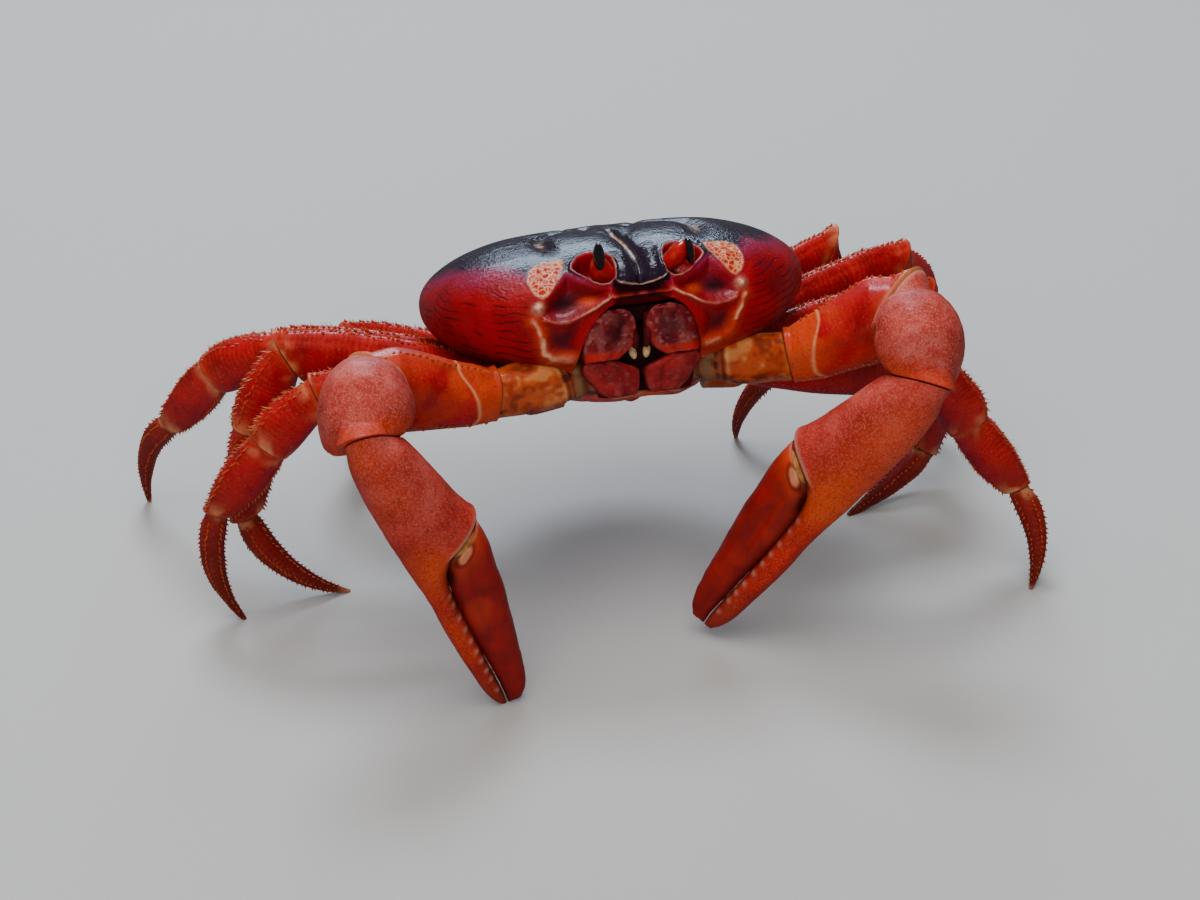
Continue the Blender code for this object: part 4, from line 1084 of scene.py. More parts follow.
def makeLeg(sideName, limb, seed):
    sign = sideSigns[sideName]
    plan = legPlan[limb]
    hip, root = hipAndRoot(plan, sign)
    way = unit(hip - root)
    upward = bodyTurn @ np.array([0, 0, 1.0])
    tubes = [Tube(root, way, upward, np.linalg.norm(hip - root), plan["sizes"][0], "coxa")]
    joints, back = [hip], None
    for k, part in enumerate(legParts[1:]):
        bearing, slope = plan[sideName][k]
        way = headingOf(bearing, slope, sign)
        back = squareTo(back, way) if back is not None else backOf(bearing, slope, sign)
        start = joints[-1]
        length = start[2] / -way[2] if part == "dactylus" else plan["lengths"][k]
        straight = "straightBow" if (sideName, limb) == ("left", "leg_2") else "bow"
        bow = legDetail[straight] if part == "dactylus" else 0.0
        tubes.append(Tube(start, way, back, length, plan["sizes"][k + 1], part, bow))
        joints.append(start + way * length)
    for k in range(4):
        mitre(tubes[k], tubes[k + 1], joints[k])
    for k, (part, tube) in enumerate(zip(legParts, tubes)):
        patches = legPiece(part, tube, seed + legDetail["seeds"]["part"] * k)
        if k:
            patches.append(jointBarrel(tubes[k - 1], tube, joints[k - 1]))
        name = "%s_%s_%s" % (sideName, limb, part)
        buildMesh(name + "_skin", patches, name)


for number, limb in enumerate(legPlan):
    for sideName in sideSigns:
        seeds = legDetail["seeds"]
        makeLeg(sideName, limb, seeds["first"] + seeds["limb"] * number + seeds.get(sideName, 0))
print("walking legs made")


# claws

clawPlan = {
    "hip": (17.0, -20.2, -14.2), "root": (10.1, -18.9), "lengths": (12.5, 26.0, 18.4),
    "sizes": ((5.2, 4.0), (8.6, 6.2), (11.4, 9.0)),
    "right": {"poses": ((-2, -5), (4, 16), (75, -3)), "tip": (-34.3, -56.8, 0.5),
              "side": (0.92, 0.02, 0.40), "heel": 0.84, "seed": 6700, "handSeed": 9500},
    "left": {"poses": ((3, -6), (24, 30), (96, -23)), "tip": (8.0, -46.8, 4.0),
             "side": (-0.60, 0.56, 0.57), "heel": 1.0, "seed": 7300, "handSeed": 9000},
    "handLength": 66.0,
    # rows and columns of each piece's grid
    "grids": {"basis": (70, 96), "merus": (120, 120), "carpus": (130, 140),
              "palm": (300, 150), "finger": (190, 112), "hinge": (13, 48)},
    # angle, first and last place, gap, height, radius, lean, spread of the merus's spines
    "spines": ((100, 0.15, 0.96, 1.3, 0.45, 0.34, 0.6, 4),
               (220, 0.10, 0.96, 1.6, 0.55, 0.40, 0.5, 5),
               (320, 0.10, 0.96, 1.6, 0.55, 0.40, 0.5, 5)),
    # first and last tooth, how many, and the range of their sizes
    "palmTeeth": (36.5, 61.5, 10, 0.45, 0.95), "fingerTeeth": (38.0, 62.5, 9, 0.40, 0.85),
    "toothTaper": ((36, 50, 63), (1.0, 0.85, 0.5)),
    # how far the features of each piece stand out or sink in
    "basisForm": {"swell": 0.7, "edge": 0.45, "ripple": 0.30, "fold": 0.4},
    "merusForm": {"fold": 0.05, "ridge": 0.35, "swell": 0.5, "neck": 1.3},
    "carpusForm": {"swell": 0.6, "grain": 0.14, "neck": 5.6, "widest": 12.2, "reach": 8.0},
    "palmForm": {"swell": 0.30, "grain": 0.10, "groove": 0.28, "hinge": 0.55, "hingeRim": 0.35,
                 "knob": 0.35},
    "fingerForm": {"swell": 0.25, "groove": 0.22, "grain": 0.12, "upper": 0.55, "lower": 0.50},
}
# along and height of the lower edge, along and height of the upper edge, half width
palmRings = (
    (-5.0, -4.0, -5.0, 4.0, 4.0), (0.0, -4.6, 0.0, 5.0, 4.9), (4.0, -5.9, 3.5, 7.0, 5.8),
    (11.0, -6.3, 10.0, 8.5, 6.3), (19.0, -6.2, 18.5, 10.3, 6.3), (25.5, -5.9, 26.0, 11.5, 5.5),
    (30.0, -5.7, 30.6, 3.2, 4.5), (35.0, -5.3, 35.0, 0.9, 3.6), (43.0, -4.9, 43.0, 0.15, 3.2),
    (52.0, -4.6, 52.0, -0.20, 2.8), (59.5, -4.1, 59.5, -0.35, 2.3), (63.8, -3.4, 63.8, -0.45, 1.7),
    (66.2, -2.4, 66.2, -0.7, 0.8))
fingerRings = (
    (31.5, 3.2, 27.0, 11.3, 4.1), (34.4, 1.4, 32.0, 11.2, 4.1), (43.0, 0.25, 42.6, 9.0, 3.6),
    (52.0, -0.10, 51.6, 7.0, 3.1), (59.5, -0.25, 59.2, 5.3, 2.5), (63.8, -0.35, 63.8, 3.9, 1.8),
    (66.2, -0.60, 66.2, 2.3, 0.9))
hingeRings = tuple((29.8 + lean, 3.4, 26.6 + lean, 10.6, 4.0 - 0.5 * abs(lean))
                   for lean in (-1.6, -0.9, 0.0, 0.9, 1.6))


def dressClaw(sideName, part, patches):
    name = "%s_claw_%s" % (sideName, part)
    buildMesh(name + "_skin", patches, name)


def handGrid(hand, stations, grid, heel=1.0):
    wrist, way, up, side, scale = hand
    rows, columns = clawPlan["grids"][grid]
    lowAt, low, highAt, high, half = columnsOf(alongAll(stations, rows))
    angle, across, rise = ringShape(columns, 2.2)
    bottom = wrist + way * lowAt * scale + up * low * heel
    top = wrist + way * highAt * scale + up * high
    centre, reach = (bottom + top) / 2, (top - bottom) / 2
    points = centre[:, None] + reach[:, None] * rise[None, :, None] \
        + side * (across[None] * half)[..., None]
    flat = np.broadcast_to(np.abs(np.cos(angle)), points.shape[:2])
    return points, ((points - wrist) @ way) / scale, (points - wrist) @ up, flat


def edgeLevel(stations, places, low):
    stations = np.array(stations)
    column = 0 if low else 2
    return np.interp(places, stations[:, column], stations[:, column + 1])


def teethPlaces(kind, rng):
    first, last, count, _, _ = clawPlan[kind]
    return np.linspace(first, last, count) + rng.uniform(-0.5, 0.5, count)


def teethSizes(kind, places, rng):
    _, _, count, small, large = clawPlan[kind]
    return rng.uniform(small, large, count) * np.interp(places, *clawPlan["toothTaper"])


def fingerTeeth(hand, stations, low, places, heights, radii, seed):
    wrist, way, up, side, scale = hand
    rng = np.random.default_rng(seed)
    sign = -1 if low else 1
    level = edgeLevel(stations, places, low)
    n = len(places)
    roots = wrist + np.outer(places * scale, way) + np.outer(level - sign * 0.15, up)
    roots = roots + np.outer(rng.uniform(-0.15, 0.15, n), side)
    ways = eachUnit(np.tile(up * sign, (n, 1)) + rng.uniform(-0.08, 0.08, (n, 3)))
    return coneField(roots, ways, heights, radii, toothIvory, 10, 0.9, "blunt")


def makePalm(sideName, hand, plane, heel, rng):
    # the palm with the fixed finger
    seed, form = clawPlan[sideName]["handSeed"], clawPlan["palmForm"]
    way, (point, normal) = hand[1], plane
    points, along, height, flat = handGrid(hand, palmRings, "palm", heel)
    normals = outwardOf(points)
    inFinger = ramp(along, 31, 36)
    lean = 0.45 * (8 - height)       # the palm's front edge leans back as it rises
    dents = form["swell"] * centred(points, 7.0, seed)
    dents = dents + form["grain"] * centred(points, 1.3, seed + 1) * fall(along, 36, 48)
    dents = dents - form["groove"] * inFinger * bump(height + 2.6, 0.9) * flat
    dents = dents - form["hinge"] * bump(along - 27.0 - lean, 1.1) * ramp(height, 1.5, 4.0)
    dents = dents + form["hingeRim"] * bump(along - 25.3 - lean, 0.9) * ramp(height, 1.0, 4.0)
    # low round knobs beside the cutting edge, one for each tooth
    teethAt = teethPlaces("palmTeeth", rng)
    edge = edgeLevel(palmRings, along, False) - 0.75
    knobs = flat * strongest(*(bump(np.hypot(along - t, height - edge), 0.52) for t in teethAt))
    fuller = ramp(along, 38, 46) * (0.45 + 0.25 * ramp(along, 56, 62))
    dents = dents + form["knob"] * knobs + fuller * ramp(-height, 1.0, 5.0)
    points = points + normals * dents[..., None]
    back = ((point - points) @ normal) / (way @ normal)
    points = points + way * np.maximum(back, 0)[..., None]
    points[..., 2] = np.maximum(points[..., 2], floorGap)
    upper = ramp(height, -4, 7)
    mottle = patchy(points, 9.0, seed + 3, 0.25, 0.75)
    marks = {"redness": clipped(0.62 + 0.38 * ramp(along, 6, 30) - 0.20 * upper),
             "warmth": clipped(0.75 * (1 - upper) * mottle * (1 - 0.5 * inFinger)
                               + 0.8 * spot(along, height, 29.0, 7.0, -0.5, 4.5)),
             "shade": 0.8 * bump(along - 27.6 - lean, 0.8) * ramp(height, 1.5, 3.5)
                      + 0.45 * ramp(along, 50, 66) + 0.35 * inFinger * ramp(height, -2.0, 0.5),
             "cream": 0.5 * bump(along - 25.6 - lean, 0.55) * ramp(height, 2.0, 5.0)
                      + 0.40 * knobs}
    size = teethSizes("palmTeeth", teethAt, rng)
    patches = [tubePatch(points, clawSkin, marks),
               fingerTeeth(hand, palmRings, False, teethAt, size * 0.75, size * 0.95, seed)]
    dressClaw(sideName, "palm", patches)


def makeFinger(sideName, hand, rng):
    seed, form = clawPlan[sideName]["handSeed"], clawPlan["fingerForm"]
    points, along, height, flat = handGrid(hand, fingerRings, "finger")
    normals = outwardOf(points)
    bottom, top = (edgeLevel(fingerRings, along, low) for low in (True, False))
    middle = (bottom + top) / 2
    dents = form["swell"] * centred(points, 6.0, seed + 6) \
        - form["groove"] * bump(height - middle + 0.5, 0.7) * flat
    dents = dents + form["grain"] * centred(points, 1.2, seed + 7)
    dents = dents + form["upper"] * ramp(along, 36, 42) * ramp(height - middle, 0.5, 3.0)
    dents = dents + form["lower"] * bump(along - 40, 9) * ramp(middle - height, 0.3, 2.0)
    points = points + normals * dents[..., None]
    start = along - (31.5 - (height - 3.2) * 0.55)       # how far from the hinge's slanting line
    points = points - hand[1] * (1.3 * fall(start, 0.0, 4.0))[..., None]
    knuckle = np.hypot((start - 0.8) / 0.8, (height - 6.4) / 1.9)
    mottle = patchy(points, 5.0, seed + 8, 0.5, 0.8)
    marks = {"warmth": clipped(0.9 * bump(start, 2.5) + 0.35 * mottle * fall(along, 40, 60)),
             "cream": clipped(0.35 * bump(start - 0.2, 0.3) + 0.50 * fall(knuckle, 0.72, 1.0)),
             "shade": clipped(0.5 * bump(height - bottom, 1.2) + 0.6 * bump(knuckle - 1.2, 0.25)
                              + 0.9 * spot(start, height, 1.6, 1.3, 1.6, 1.4))}
    teethAt = teethPlaces("fingerTeeth", rng)
    size = teethSizes("fingerTeeth", teethAt, rng)
    hinge = handGrid(hand, hingeRings, "hinge")[0]
    patches = [tubePatch(points, fingerSkin, marks), tubePatch(hinge, jointSkin, {}),
               fingerTeeth(hand, fingerRings, True, teethAt, size * 0.7, size * 0.9, seed + 1)]
    dressClaw(sideName, "finger", patches)


def clawBasis(tube, seed):
    # grey folds at the breast, then an orange piece with pale streaks
    form = clawPlan["basisForm"]
    up, place, points = tube.up, clipped(tube.place), tube.points
    turned = np.radians(tube.round)
    sway = place + 0.035 * np.sin(2 * turned + math.radians(40)) \
        + 0.05 * centred(points, 3.5, seed + 3)
    folds = fall(sway, 0.24, 0.31)
    ripple = sway * tube.length / 3.1 + 0.5 * softNoise(points, 5.0, seed + 6)
    ripple = np.sin(2 * math.pi * ripple)
    tube.raised(form["swell"] * centred(points, 5.0, seed) - form["edge"] * bump(sway - 0.31, 0.03)
                + form["ripple"] * folds * ripple - form["fold"] * folds)
    points = tube.points
    streaks = gridOf(place * tube.length * 0.30, 2.6 * np.cos(turned), 2.6 * np.sin(turned))
    mottle = 0.65 * softNoise(streaks, 1.0, seed + 8) + 0.35 * softNoise(points, 0.9, seed + 7)
    return {"cream": clipped(0.25 * bump(tube.toEnd, 0.5) + 0.45 * bump(sway - 0.35, 0.02)
                             + 0.50 * ramp(mottle, 0.55, 0.72) * (1 - folds)),
            "foldTone": clipped(folds * (0.75 + 0.25 * ripple)),
            "shade": clipped(0.55 * ramp(-up, 0.1, 0.9) + 0.8 * bump(sway - 0.305, 0.02)
                             + 0.5 * folds * ramp(-ripple, 0.2, 0.9)
                             + 0.60 * ramp(-mottle, -0.44, -0.30))}


def clawMerus(tube, seed):
    # the collar is the pale line that crosses the piece above its orange root
    form, up, points = clawPlan["merusForm"], tube.up, tube.points
    fold = rugae(tube, 1.3, seed + 4)
    ridge = bump(tube.round - 100, 9)
    tube.raised(form["fold"] * fold * ramp(up, -0.2, 0.6) + form["ridge"] * ridge
                + form["swell"] * centred(points, 8.0, seed)
                - form["neck"] * ramp(up, 0.1, 0.9) * bump(clipped(tube.place) - 0.35, 0.45))
    points = tube.points
    mottle = softNoise(points, 3.2, seed + 2)
    collar = tube.fromStart + 1.6 * centred(points, 6.0, seed + 3) - 5.2
    collar = collar - 2.8 * ramp(up, 0.0, 1.0) - 1.0 * ramp(-up, 0.3, 1.0)
    warm = 0.85 * ramp(-collar, -0.6, 0.3) + 0.75 * bump(collar, 5.0) * ramp(mottle, 0.35, 0.65)
    warm = warm + 0.40 * patchy(points, 8.0, seed + 1, 0.55, 0.80) * ramp(mottle, 0.30, 0.60)
    return {"relief": 0.3 * fold * ramp(up, 0.0, 0.6),
            "warmth": clipped(warm + 0.5 * bump(tube.toEnd, 1.8)),
            "cream": clipped(0.55 * bump(tube.toEnd, 0.6) + 0.80 * bump(collar, 0.34) + 0.08 * ridge
                             + 0.05 * ramp(-collar, 0.0, 0.5) * ramp(mottle, 0.55, 0.75)),
            # underTint: painted shade on the underside, beyond the collar
            "underTint": 0.5 * ramp(-up, 0.2, 0.9) * ramp(collar, 0.0, 4.0)}


def clawCarpus(tube, seed, wrist, normal):
    form = clawPlan["carpusForm"]
    tube.closedRound(wrist, normal, form["neck"], form["widest"], form["reach"])
    points = tube.points
    tube.raised(form["swell"] * centred(points, 8.0, seed + 9)
                + form["grain"] * centred(points, 1.3, seed + 10))
    collar = ramp((tube.points - wrist) @ normal, -5.0, -1.0)
    return {"redness": clipped(0.15 + 0.3 * ramp(-tube.up, 0.0, 0.8) + 0.7 * collar),
            "warmth": clipped(0.40 * collar + 0.3 * ramp(-tube.up, 0.2, 0.9)),
            "cream": 0.30 * bump(tube.fromStart, 0.8)}


def makeClaw(sideName):
    sign = sideSigns[sideName]
    plan = clawPlan
    mine = plan[sideName]
    seed = mine["seed"]
    hip, root = hipAndRoot(plan, sign)
    tubes, joints = [], [hip]
    above = np.array([0, 0, 1.0])
    for k, form in enumerate(("basis", "handMerus", "handCarpus")):
        way = headingOf(*mine["poses"][k], sign)
        start, length = joints[-1], plan["lengths"][k]
        if k == 0:
            # the first piece starts inside the breast, not at the hip
            end = hip + way * length
            start, way, length = root, unit(end - root), np.linalg.norm(end - root)
        tubes.append(Tube(start, way, above, length, plan["sizes"][k], form))
        joints.append(start + way * length)
    wrist = joints[-1]
    way = np.array(mine["tip"]) - wrist
    scale = np.linalg.norm(way) / plan["handLength"]
    way = unit(way)
    up = squareTo(np.array(mine["side"]), way)
    hand = (wrist, way, up, np.cross(way, up), scale)
    mitre(tubes[0], tubes[1], joints[1])
    mitre(tubes[1], tubes[2], joints[2])
    normal = unit(tubes[2].way + way)
    tubes[2].planes[1] = (wrist - normal * jointGap / 2, normal)
    basis, merus, carpus = (tube.grid(*plan["grids"][part])
                            for tube, part in zip(tubes, ("basis", "merus", "carpus")))
    marks = clawBasis(basis, seed)
    dressClaw(sideName, "basis", [tubePatch(basis.points, hipSkin, marks)])
    marks = clawMerus(merus, seed)
    patches = [tubePatch(merus.points, legSkin, marks),
               jointBarrel(basis, merus, joints[1], 0.86, 2.0)]
    for k, (*shape, lean, spread) in enumerate(plan["spines"]):
        patches.append(spineRow(merus, *shape, spineAmber, lean, seed + k, spread))
    dressClaw(sideName, "merus", patches)
    marks = clawCarpus(carpus, seed, wrist, normal)
    patches = [tubePatch(carpus.points, clawSkin, marks),
               jointBarrel(merus, carpus, joints[2], 0.80, 2.2)]
    dressClaw(sideName, "carpus", patches)
    rng = np.random.default_rng(mine["handSeed"])
    makePalm(sideName, hand, (wrist + normal * jointGap / 2, normal), mine["heel"], rng)
    makeFinger(sideName, hand, rng)


makeClaw("right")
makeClaw("left")
print("claws made")


# eyes

eyePlan = {
    "right": {"line": ((-5.8, -22.0, 3.0, 1.8), (-6.8, -23.6, 4.4, 2.3), (-7.4, -24.6, 5.8, 2.45),
                       (-7.7, -24.8, 7.4, 2.1), (-7.9, -24.8, 8.8, 1.2), (-7.9, -24.8, 9.3, 0.4)),
              "cornea": (-8.1, -26.2, 9.1), "reach": (1.1, 1.5, 2.9), "lean": 2.0},
    "left": {"line": ((4.8, -22.0, 4.2, 1.9), (6.0, -23.6, 5.4, 2.5), (7.2, -24.5, 7.2, 2.6),
                      (8.2, -24.7, 8.8, 2.1), (8.9, -24.7, 10.0, 1.3), (9.2, -24.7, 10.5, 0.5)),
             "cornea": (9.9, -25.6, 8.2), "reach": (1.0, 1.7, 2.6), "lean": -4.0},
}


def ellipsoidPatch(centre, reach, lean, finish, rows=40, columns=56):
    # a closed round form in the body frame
    lat = np.linspace(-0.985, 0.985, rows) * math.pi / 2
    lon = circle(columns)
    x = np.cos(lat)[:, None] * np.cos(lon)[None]
    y = np.cos(lat)[:, None] * np.sin(lon)[None]
    points = gridOf(x, y, np.sin(lat)[:, None]) * reach
    c, s = math.cos(math.radians(lean)), math.sin(math.radians(lean))
    points = points @ np.array([[c, 0, s], [0, 1, 0], [-s, 0, c]]).T
    return tubePatch(toFloor(points + np.array(centre)), finish, {}, 2)


def makeEye(sideName):
    plan = eyePlan[sideName]
    x, y, z, radius = columnsOf(alongAll(plan["line"], 60))
    angle = circle(64)
    rings = gridOf(x + radius * np.cos(angle), y + radius * np.sin(angle), z)
    marks = {"warmth": 0.30 * patchy(rings, 1.6, 31, 0.50, 0.8)}
    patches = [tubePatch(toFloor(rings), eyeRed, marks),
               ellipsoidPatch(plan["cornea"], plan["reach"], plan["lean"], corneaBlack)]
    name = sideName + "_eye"
    buildMesh(name + "_ball", patches, name)


makeEye("right")
makeEye("left")
print("eyes made")


# mouth

mouthPlan = {
    "merus": {"outline": ((-1.2, 5.0, 1.4), (-2.0, 5.3, 3.5), (-4.0, 5.7, 4.9), (-6.5, 6.2, 5.4),
                          (-9.0, 7.1, 4.9), (-10.7, 8.0, 3.6)), "front": -27.2},
    "ischium": {"outline": ((-10.9, 8.6, 2.6), (-11.8, 7.7, 4.1), (-13.2, 6.2, 5.6),
                            (-15.2, 5.3, 5.0), (-17.0, 4.7, 4.1), (-18.2, 4.3, 2.8)),
                "front": -26.6},
    "shift": -1.3, "thick": 2.2, "tilt": 0.16, "tiltFrom": -1.9,
}


def makeMouthCover(sideName, part):
    sign, merus = sideSigns[sideName], part == "merus"
    whole, plan = mouthPlan, mouthPlan[part]
    z, middle, half = columnsOf(alongAll(plan["outline"], 90))
    _, across, rise = ringShape(96, 2.4)
    depth = whole["thick"] * rise * np.where(rise > 0, 1, 0.4)
    y = plan["front"] + whole["thick"] / 2 + whole["tilt"] * (whole["tiltFrom"] - z) \
        - depth[None] * np.minimum(1, half / 3.0)
    rings = gridOf(sign * middle + across[None] * half + whole["shift"], y, z)
    normals = outwardOf(rings)
    inner = sign * (rings[..., 0] - whole["shift"])        # how far out from the mouth's middle
    side = inner - (middle - half)                         # and from the plate's inner edge
    edge = np.minimum(side, (middle + half) - inner)
    front = ramp(rise, 0.2, 0.8)[None]
    seed = 400 + (50 if merus else 0) + (7 if sign > 0 else 0)
    groove = bump(inner - (middle - half * 0.30), 0.7) * front
    relief = 0.35 * centred(rings, 2.6, seed) + 0.16 * centred(rings, 0.8, seed + 1) \
        - (0.25 if merus else 0.35) * groove + 0.25 * bump(edge - 0.45, 0.35) * front
    rings = rings + normals * relief[..., None]
    speckles = patchy(rings, 0.55, seed + 4, 0.62, 0.85)
    dusty = 0.30 * patchy(rings, 1.6, seed + 2, 0.45, 0.75) + 0.55 * speckles
    hollow = spot(inner, z, middle, 2.6, -5.0, 3.0) if merus else 0
    lip = strongest(bump(side - 0.55, 0.70) * ramp(-z, 3.5, 6.0), bump(z + 9.9, 0.9)) * front
    warmth = 0.9 * lip if merus else 0.12 + 0.35 * patchy(rings, 4.0, seed + 3, 0.4, 0.8)
    marks = {"cream": clipped(dusty * front * (1 if merus else 0.35)
                              + 0.25 * bump(edge - 0.35, 0.25) * front),
             "warmth": clipped(warmth),
             "shade": clipped(0.55 * (1 - front) + (0.3 if merus else 0.15) * groove
                              + 0.62 * hollow)}
    name = "%s_maxilliped_%s" % (sideName, part)
    buildMesh(name + "_plate", [tubePatch(toFloor(rings), mouthSkin, marks)], name)


for sideName in sideSigns:
    makeMouthCover(sideName, "merus")
    makeMouthCover(sideName, "ischium")
print("mouth covers made")


# what shows between the covers: a dark lining that is painted shadow in the mouth's room, two pale
# jaws and the small legs beside them
jawPlan = {"room": ((-18.4, -21.4, 0.3), (-14.0, -21.8, 0.4), (-10.6, -23.0, 0.6),
                    (-8.6, -22.0, 0.9), (-5.6, -21.8, 1.0), (-4.0, -23.6, 1.0), (-1.3, -24.2, 1.0)),
           "half": 12.2, "back": -20.3, "middle": -1.35,
           "jaw": (1.40, -24.1, -10.0), "jawReach": (0.75, 0.7, 1.45), "jawLean": 12,
           "palp": ((2.0, -25.4, -2.6, 0.8), (1.7, -26.0, -5.0, 1.0), (1.3, -25.9, -7.4, 0.9),
                    (1.0, -25.2, -9.0, 0.5))}


def roundLine(line, rows, columns):
    # a tube round a bent line of points with radii, in the body frame
    table = alongAll(line, rows)
    centre, radius = table[:, :3], table[:, 3]
    way = eachUnit(np.gradient(centre, axis=0))
    first = eachUnit(np.cross(way, np.array([0.0, 1.0, 0.1])))
    return circlesAt(centre, radius, first, np.cross(way, first), columns)


def makeMouthRoom():
    plan = jawPlan
    z, front, share = columnsOf(alongAll(plan["room"], 70))
    _, across, rise = ringShape(120, 4.0)
    middle, reach = (front + plan["back"]) / 2, (plan["back"] - front) / 2
    rings = gridOf(across[None] * plan["half"] * share, middle - rise[None] * reach, z)
    rings = rings + outwardOf(rings) * (0.5 * centred(rings, 2.0, 61))[..., None]
    # the room's lining is dark to paint the shadow inside it
    patches = [tubePatch(toFloor(rings), shadowLining, {})]
    for sign in (-1, 1):
        x, y, z = plan["jaw"]
        patches.append(ellipsoidPatch((plan["middle"] + sign * x, y, z), plan["jawReach"],
                                      sign * plan["jawLean"], jawCream, 24, 32))
        line = [(plan["middle"] + sign * x, y, z, r) for x, y, z, r in plan["palp"]]
        patches.append(tubePatch(toFloor(roundLine(line, 40, 24)), mouthSkin, {"shade": 0.6}))
    buildMesh("mouth_room", patches, "mouth_frame")


makeMouthRoom()
print("jaws made")


# the plate between the legs, and the folded tail

breastPlan = {
    "outline": ((7.0, -23.0), (13.2, -14.8), (16.0, -6.0), (16.0, 4.0), (14.2, 12.8), (10.0, 21.0),
                (4.0, 24.5)),
    "levels": ((-13.0, 1.0), (-15.5, 1.0), (-17.4, 1.0), (-18.6, 0.975), (-19.4, 0.93),
               (-19.9, 0.86), (-20.0, 0.74), (-20.0, 0.50), (-20.0, 0.25), (-20.0, 0.05)),
    "seams": (-14.8, -6.0, 4.0, 12.8), "grid": (110, 220), "roundings": 6,
}
tailPlan = {
    "line": ((33.6, -3.5, 9.5), (35.2, -9.0, 10.0), (32.0, -15.5, 8.5), (24.5, -21.0, 6.5),
             (12.0, -21.6, 4.6), (0.0, -21.6, 3.4), (-9.0, -21.6, 1.8)),
    "thick": 2.0, "seams": (0.14, 0.28, 0.42, 0.56, 0.70, 0.86), "grid": (260, 96),
}


def makeBreast():
    plan = breastPlan
    side = np.array(plan["outline"])
    whole = np.concatenate([side, (side * (-1, 1))[::-1]])
    closed = np.vstack([whole, whole[:1]])
    steps = np.linalg.norm(np.diff(closed, axis=0), axis=1)
    run = np.concatenate([[0], np.cumsum(steps)])
    rows, columns = plan["grid"]
    at = np.linspace(0, run[-1], columns + 1)[:-1]
    edge = np.stack([np.interp(at, run, closed[:, k]) for k in (0, 1)], -1)
    for _ in range(plan["roundings"]):
        edge = (np.roll(edge, 1, axis=0) + 2 * edge + np.roll(edge, -1, axis=0)) / 4
    z, share = columnsOf(alongAll(plan["levels"], rows))
    x = edge[:, 0][None] * share
    y = edge[:, 1][None] * (0.35 + 0.65 * share)
    z = np.where((y < -19.6) & (z > -18.7), -18.7, z)
    rings = gridOf(x, y, z)
    low = ramp(-z, 17.0, 19.0) + 0 * x
    seam = np.zeros(x.shape)
    for place in plan["seams"]:
        reach = np.abs(x)
        seam = np.maximum(seam, bump(y - place - 0.06 * (reach - 10), 0.55) * ramp(reach, 3.0, 6.5))
    ridge = bump(np.abs(np.abs(x) - 6.5) - 0.2, 0.6) * ramp(y, -14, -8) * low
    rings[..., 2] += 0.45 * seam * low + 0.5 * low * bump(x, 4.5) * ramp(-y, -10, 16)
    rings[..., 2] -= 0.25 * low * centred(rings, 5.0, 71)
    rim = bump(z + 18.6, 0.45) + 0 * x
    marks = {"cream": clipped(0.65 * rim * patchy(rings, 3.0, 72, 0.3, 0.6) + 0.35 * seam
                              + 0.3 * ridge),
             "shade": 0.5 * seam, "warmth": 0.5 * patchy(rings, 7.0, 73, 0.45, 0.8)}
    buildMesh("breast_plate", [tubePatch(toFloor(rings), underSkin, marks)], "sternum")


def makeTail():
    plan = tailPlan
    (rows, columns), thick = plan["grid"], plan["thick"]
    table = alongAll(plan["line"], rows)
    way = eachUnit(np.gradient(table[:, :2], axis=0))
    out = gridOf(0.0, -way[:, 1], way[:, 0])
    centre = gridOf(0.0, table[:, 0], table[:, 1]) - out * thick / 2
    _, across, rise = ringShape(columns, 3.0)
    rings = centre[:, None] + out[:, None] * (rise * thick / 2)[None, :, None]
    rings = rings + np.array([1.0, 0, 0]) * (across[None] * table[:, 2][:, None])[..., None]
    along = np.linspace(0, 1, rows)[:, None]
    seam = np.zeros((rows, columns))
    for place in plan["seams"]:
        seam = np.maximum(seam, bump((along - place - 0.012 * np.abs(across[None])) / 0.007, 1.0))
    outer = ramp(rise[None] + 0 * seam, 0.2, 0.8)
    relief = -0.40 * seam * outer + 0.25 * outer * bump(across[None] / 0.4, 1.0)
    relief = relief + 0.25 * centred(rings, 4.0, 81)
    rings = rings + outwardOf(rings) * relief[..., None]
    marks = {"cream": 0.45 * bump(along - 0.5, 9) * bump(np.abs(across)[None] - 1, 0.08)
                      + 0.25 * seam, "shade": 0.6 * seam,
             "warmth": 0.45 * patchy(rings, 6.0, 82, 0.4, 0.8)}
    buildMesh("folded_tail", [tubePatch(toFloor(rings), underSkin, marks)], "abdomen")


makeBreast()
makeTail()
print("underside made")


# stage, light and camera

stagePlan = {"floor": (0.46, 0.445, 0.425), "sky": (0.80, 0.88, 1.0), "skyStrength": 0.12,
             "target": (5.231, 8.411, 16.1), "toCamera": (-0.2228, -0.8036, 0.5519),
             "distance": 727.0, "azimuth": 15.5, "roll": -0.4, "lens": 105.0, "sensor": 36.0,
             "farthest": 20.0, "floorReach": 3.0, "floorGloss": 0.85}
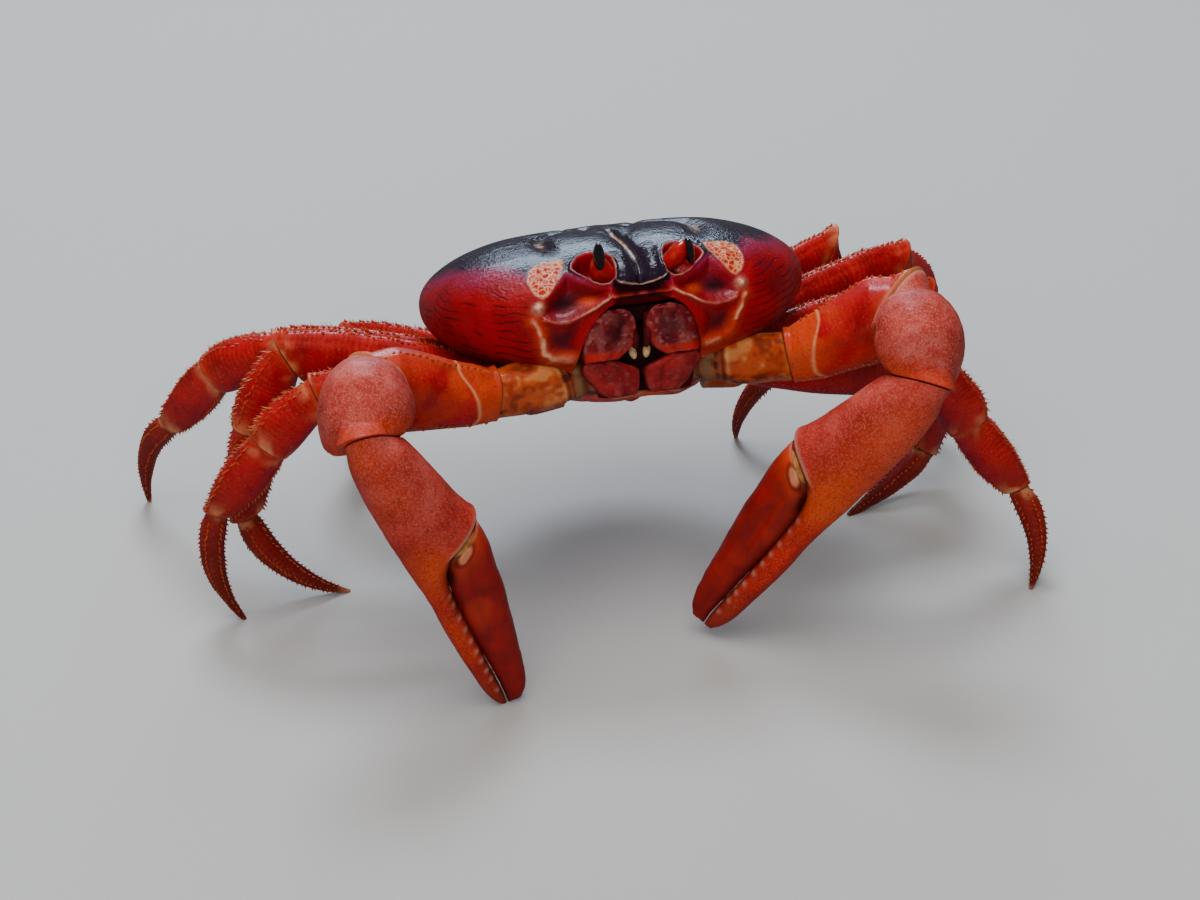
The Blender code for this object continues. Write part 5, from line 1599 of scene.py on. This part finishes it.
# each light's size in metres, power, place, aim, colour, and whether the gloss shows it
lightPlan = {
    "rim": ((0.50, 0.26), 4.8, (0.18, 0.95, 0.42), (0, 0, 0.06), (0.62, 0.80, 1.0), True),
    "key": ((0.34, 0.26), 7.0, (0.02, 0.42, 0.88), (0, 0, 0.04), (0.78, 0.88, 1.0), True),
    "soft": ((1.0, 0.8), 10.0, (-0.15, -0.16, 1.05), (0, 0, 0.03), (1.0, 0.98, 0.96), False),
    "fill": ((1.0, 0.7), 6.2, (-0.45, -0.95, 0.60), (0, 0, 0.04), (1.0, 0.97, 0.94), False),
}


def makeFloor():
    mesh = bpy.data.meshes.new("floor")
    reach, gloss = stagePlan["floorReach"], stagePlan["floorGloss"]
    corners = [(reach * x, reach * y, 0) for x, y in ((-1, -1), (1, -1), (1, 1), (-1, 1))]
    mesh.from_pydata(corners, [], [(0, 1, 2, 3)])
    floor = placed("floor", mesh)
    mesh.materials.append(Painter("floorFinish", gloss).finished(stagePlan["floor"], gloss))
    floor.visible_glossy = False


def makeLight(name):
    size, power, place, aim, colour, inGloss = lightPlan[name]
    light = bpy.data.lights.new(name, "AREA")
    light.energy, light.color = power, colour
    light.shape = "RECTANGLE"
    light.size, light.size_y = size
    lamp = placed(name, light)
    lamp.location = place
    lamp.rotation_euler = (Vector(place) - Vector(aim)).to_track_quat("Z", "Y").to_euler()
    lamp.visible_glossy = inGloss


def makeSky():
    world = bpy.data.worlds.new("sky")
    world.use_nodes = True
    shade = world.node_tree.nodes["Background"]
    shade.inputs["Color"].default_value = (*stagePlan["sky"], 1.0)
    shade.inputs["Strength"].default_value = stagePlan["skyStrength"]
    bpy.context.scene.world = world


def makeCamera():
    plan = stagePlan
    toCamera = unit(plan["toCamera"])
    a, r = math.radians(plan["azimuth"]), math.radians(plan["roll"])
    level = np.array([math.cos(a), -math.sin(a), 0])
    upright = np.cross(toCamera, level)
    across = math.cos(r) * level + math.sin(r) * upright
    upward = -math.sin(r) * level + math.cos(r) * upright
    camera = bpy.data.cameras.new("camera")
    camera.lens, camera.sensor_width = plan["lens"], plan["sensor"]
    camera.clip_end = plan["farthest"]
    rig = placed("camera", camera)
    place = (np.array(plan["target"]) + toCamera * plan["distance"]) * millimetre
    rows = np.stack([across, upward, toCamera], 1)
    rig.matrix_world = Matrix([[*row, at] for row, at in zip(rows, place)] + [[0, 0, 0, 1]])
    bpy.context.scene.camera = rig


makeFloor()
makeSky()
for name in lightPlan:
    makeLight(name)
makeCamera()
print("stage set")
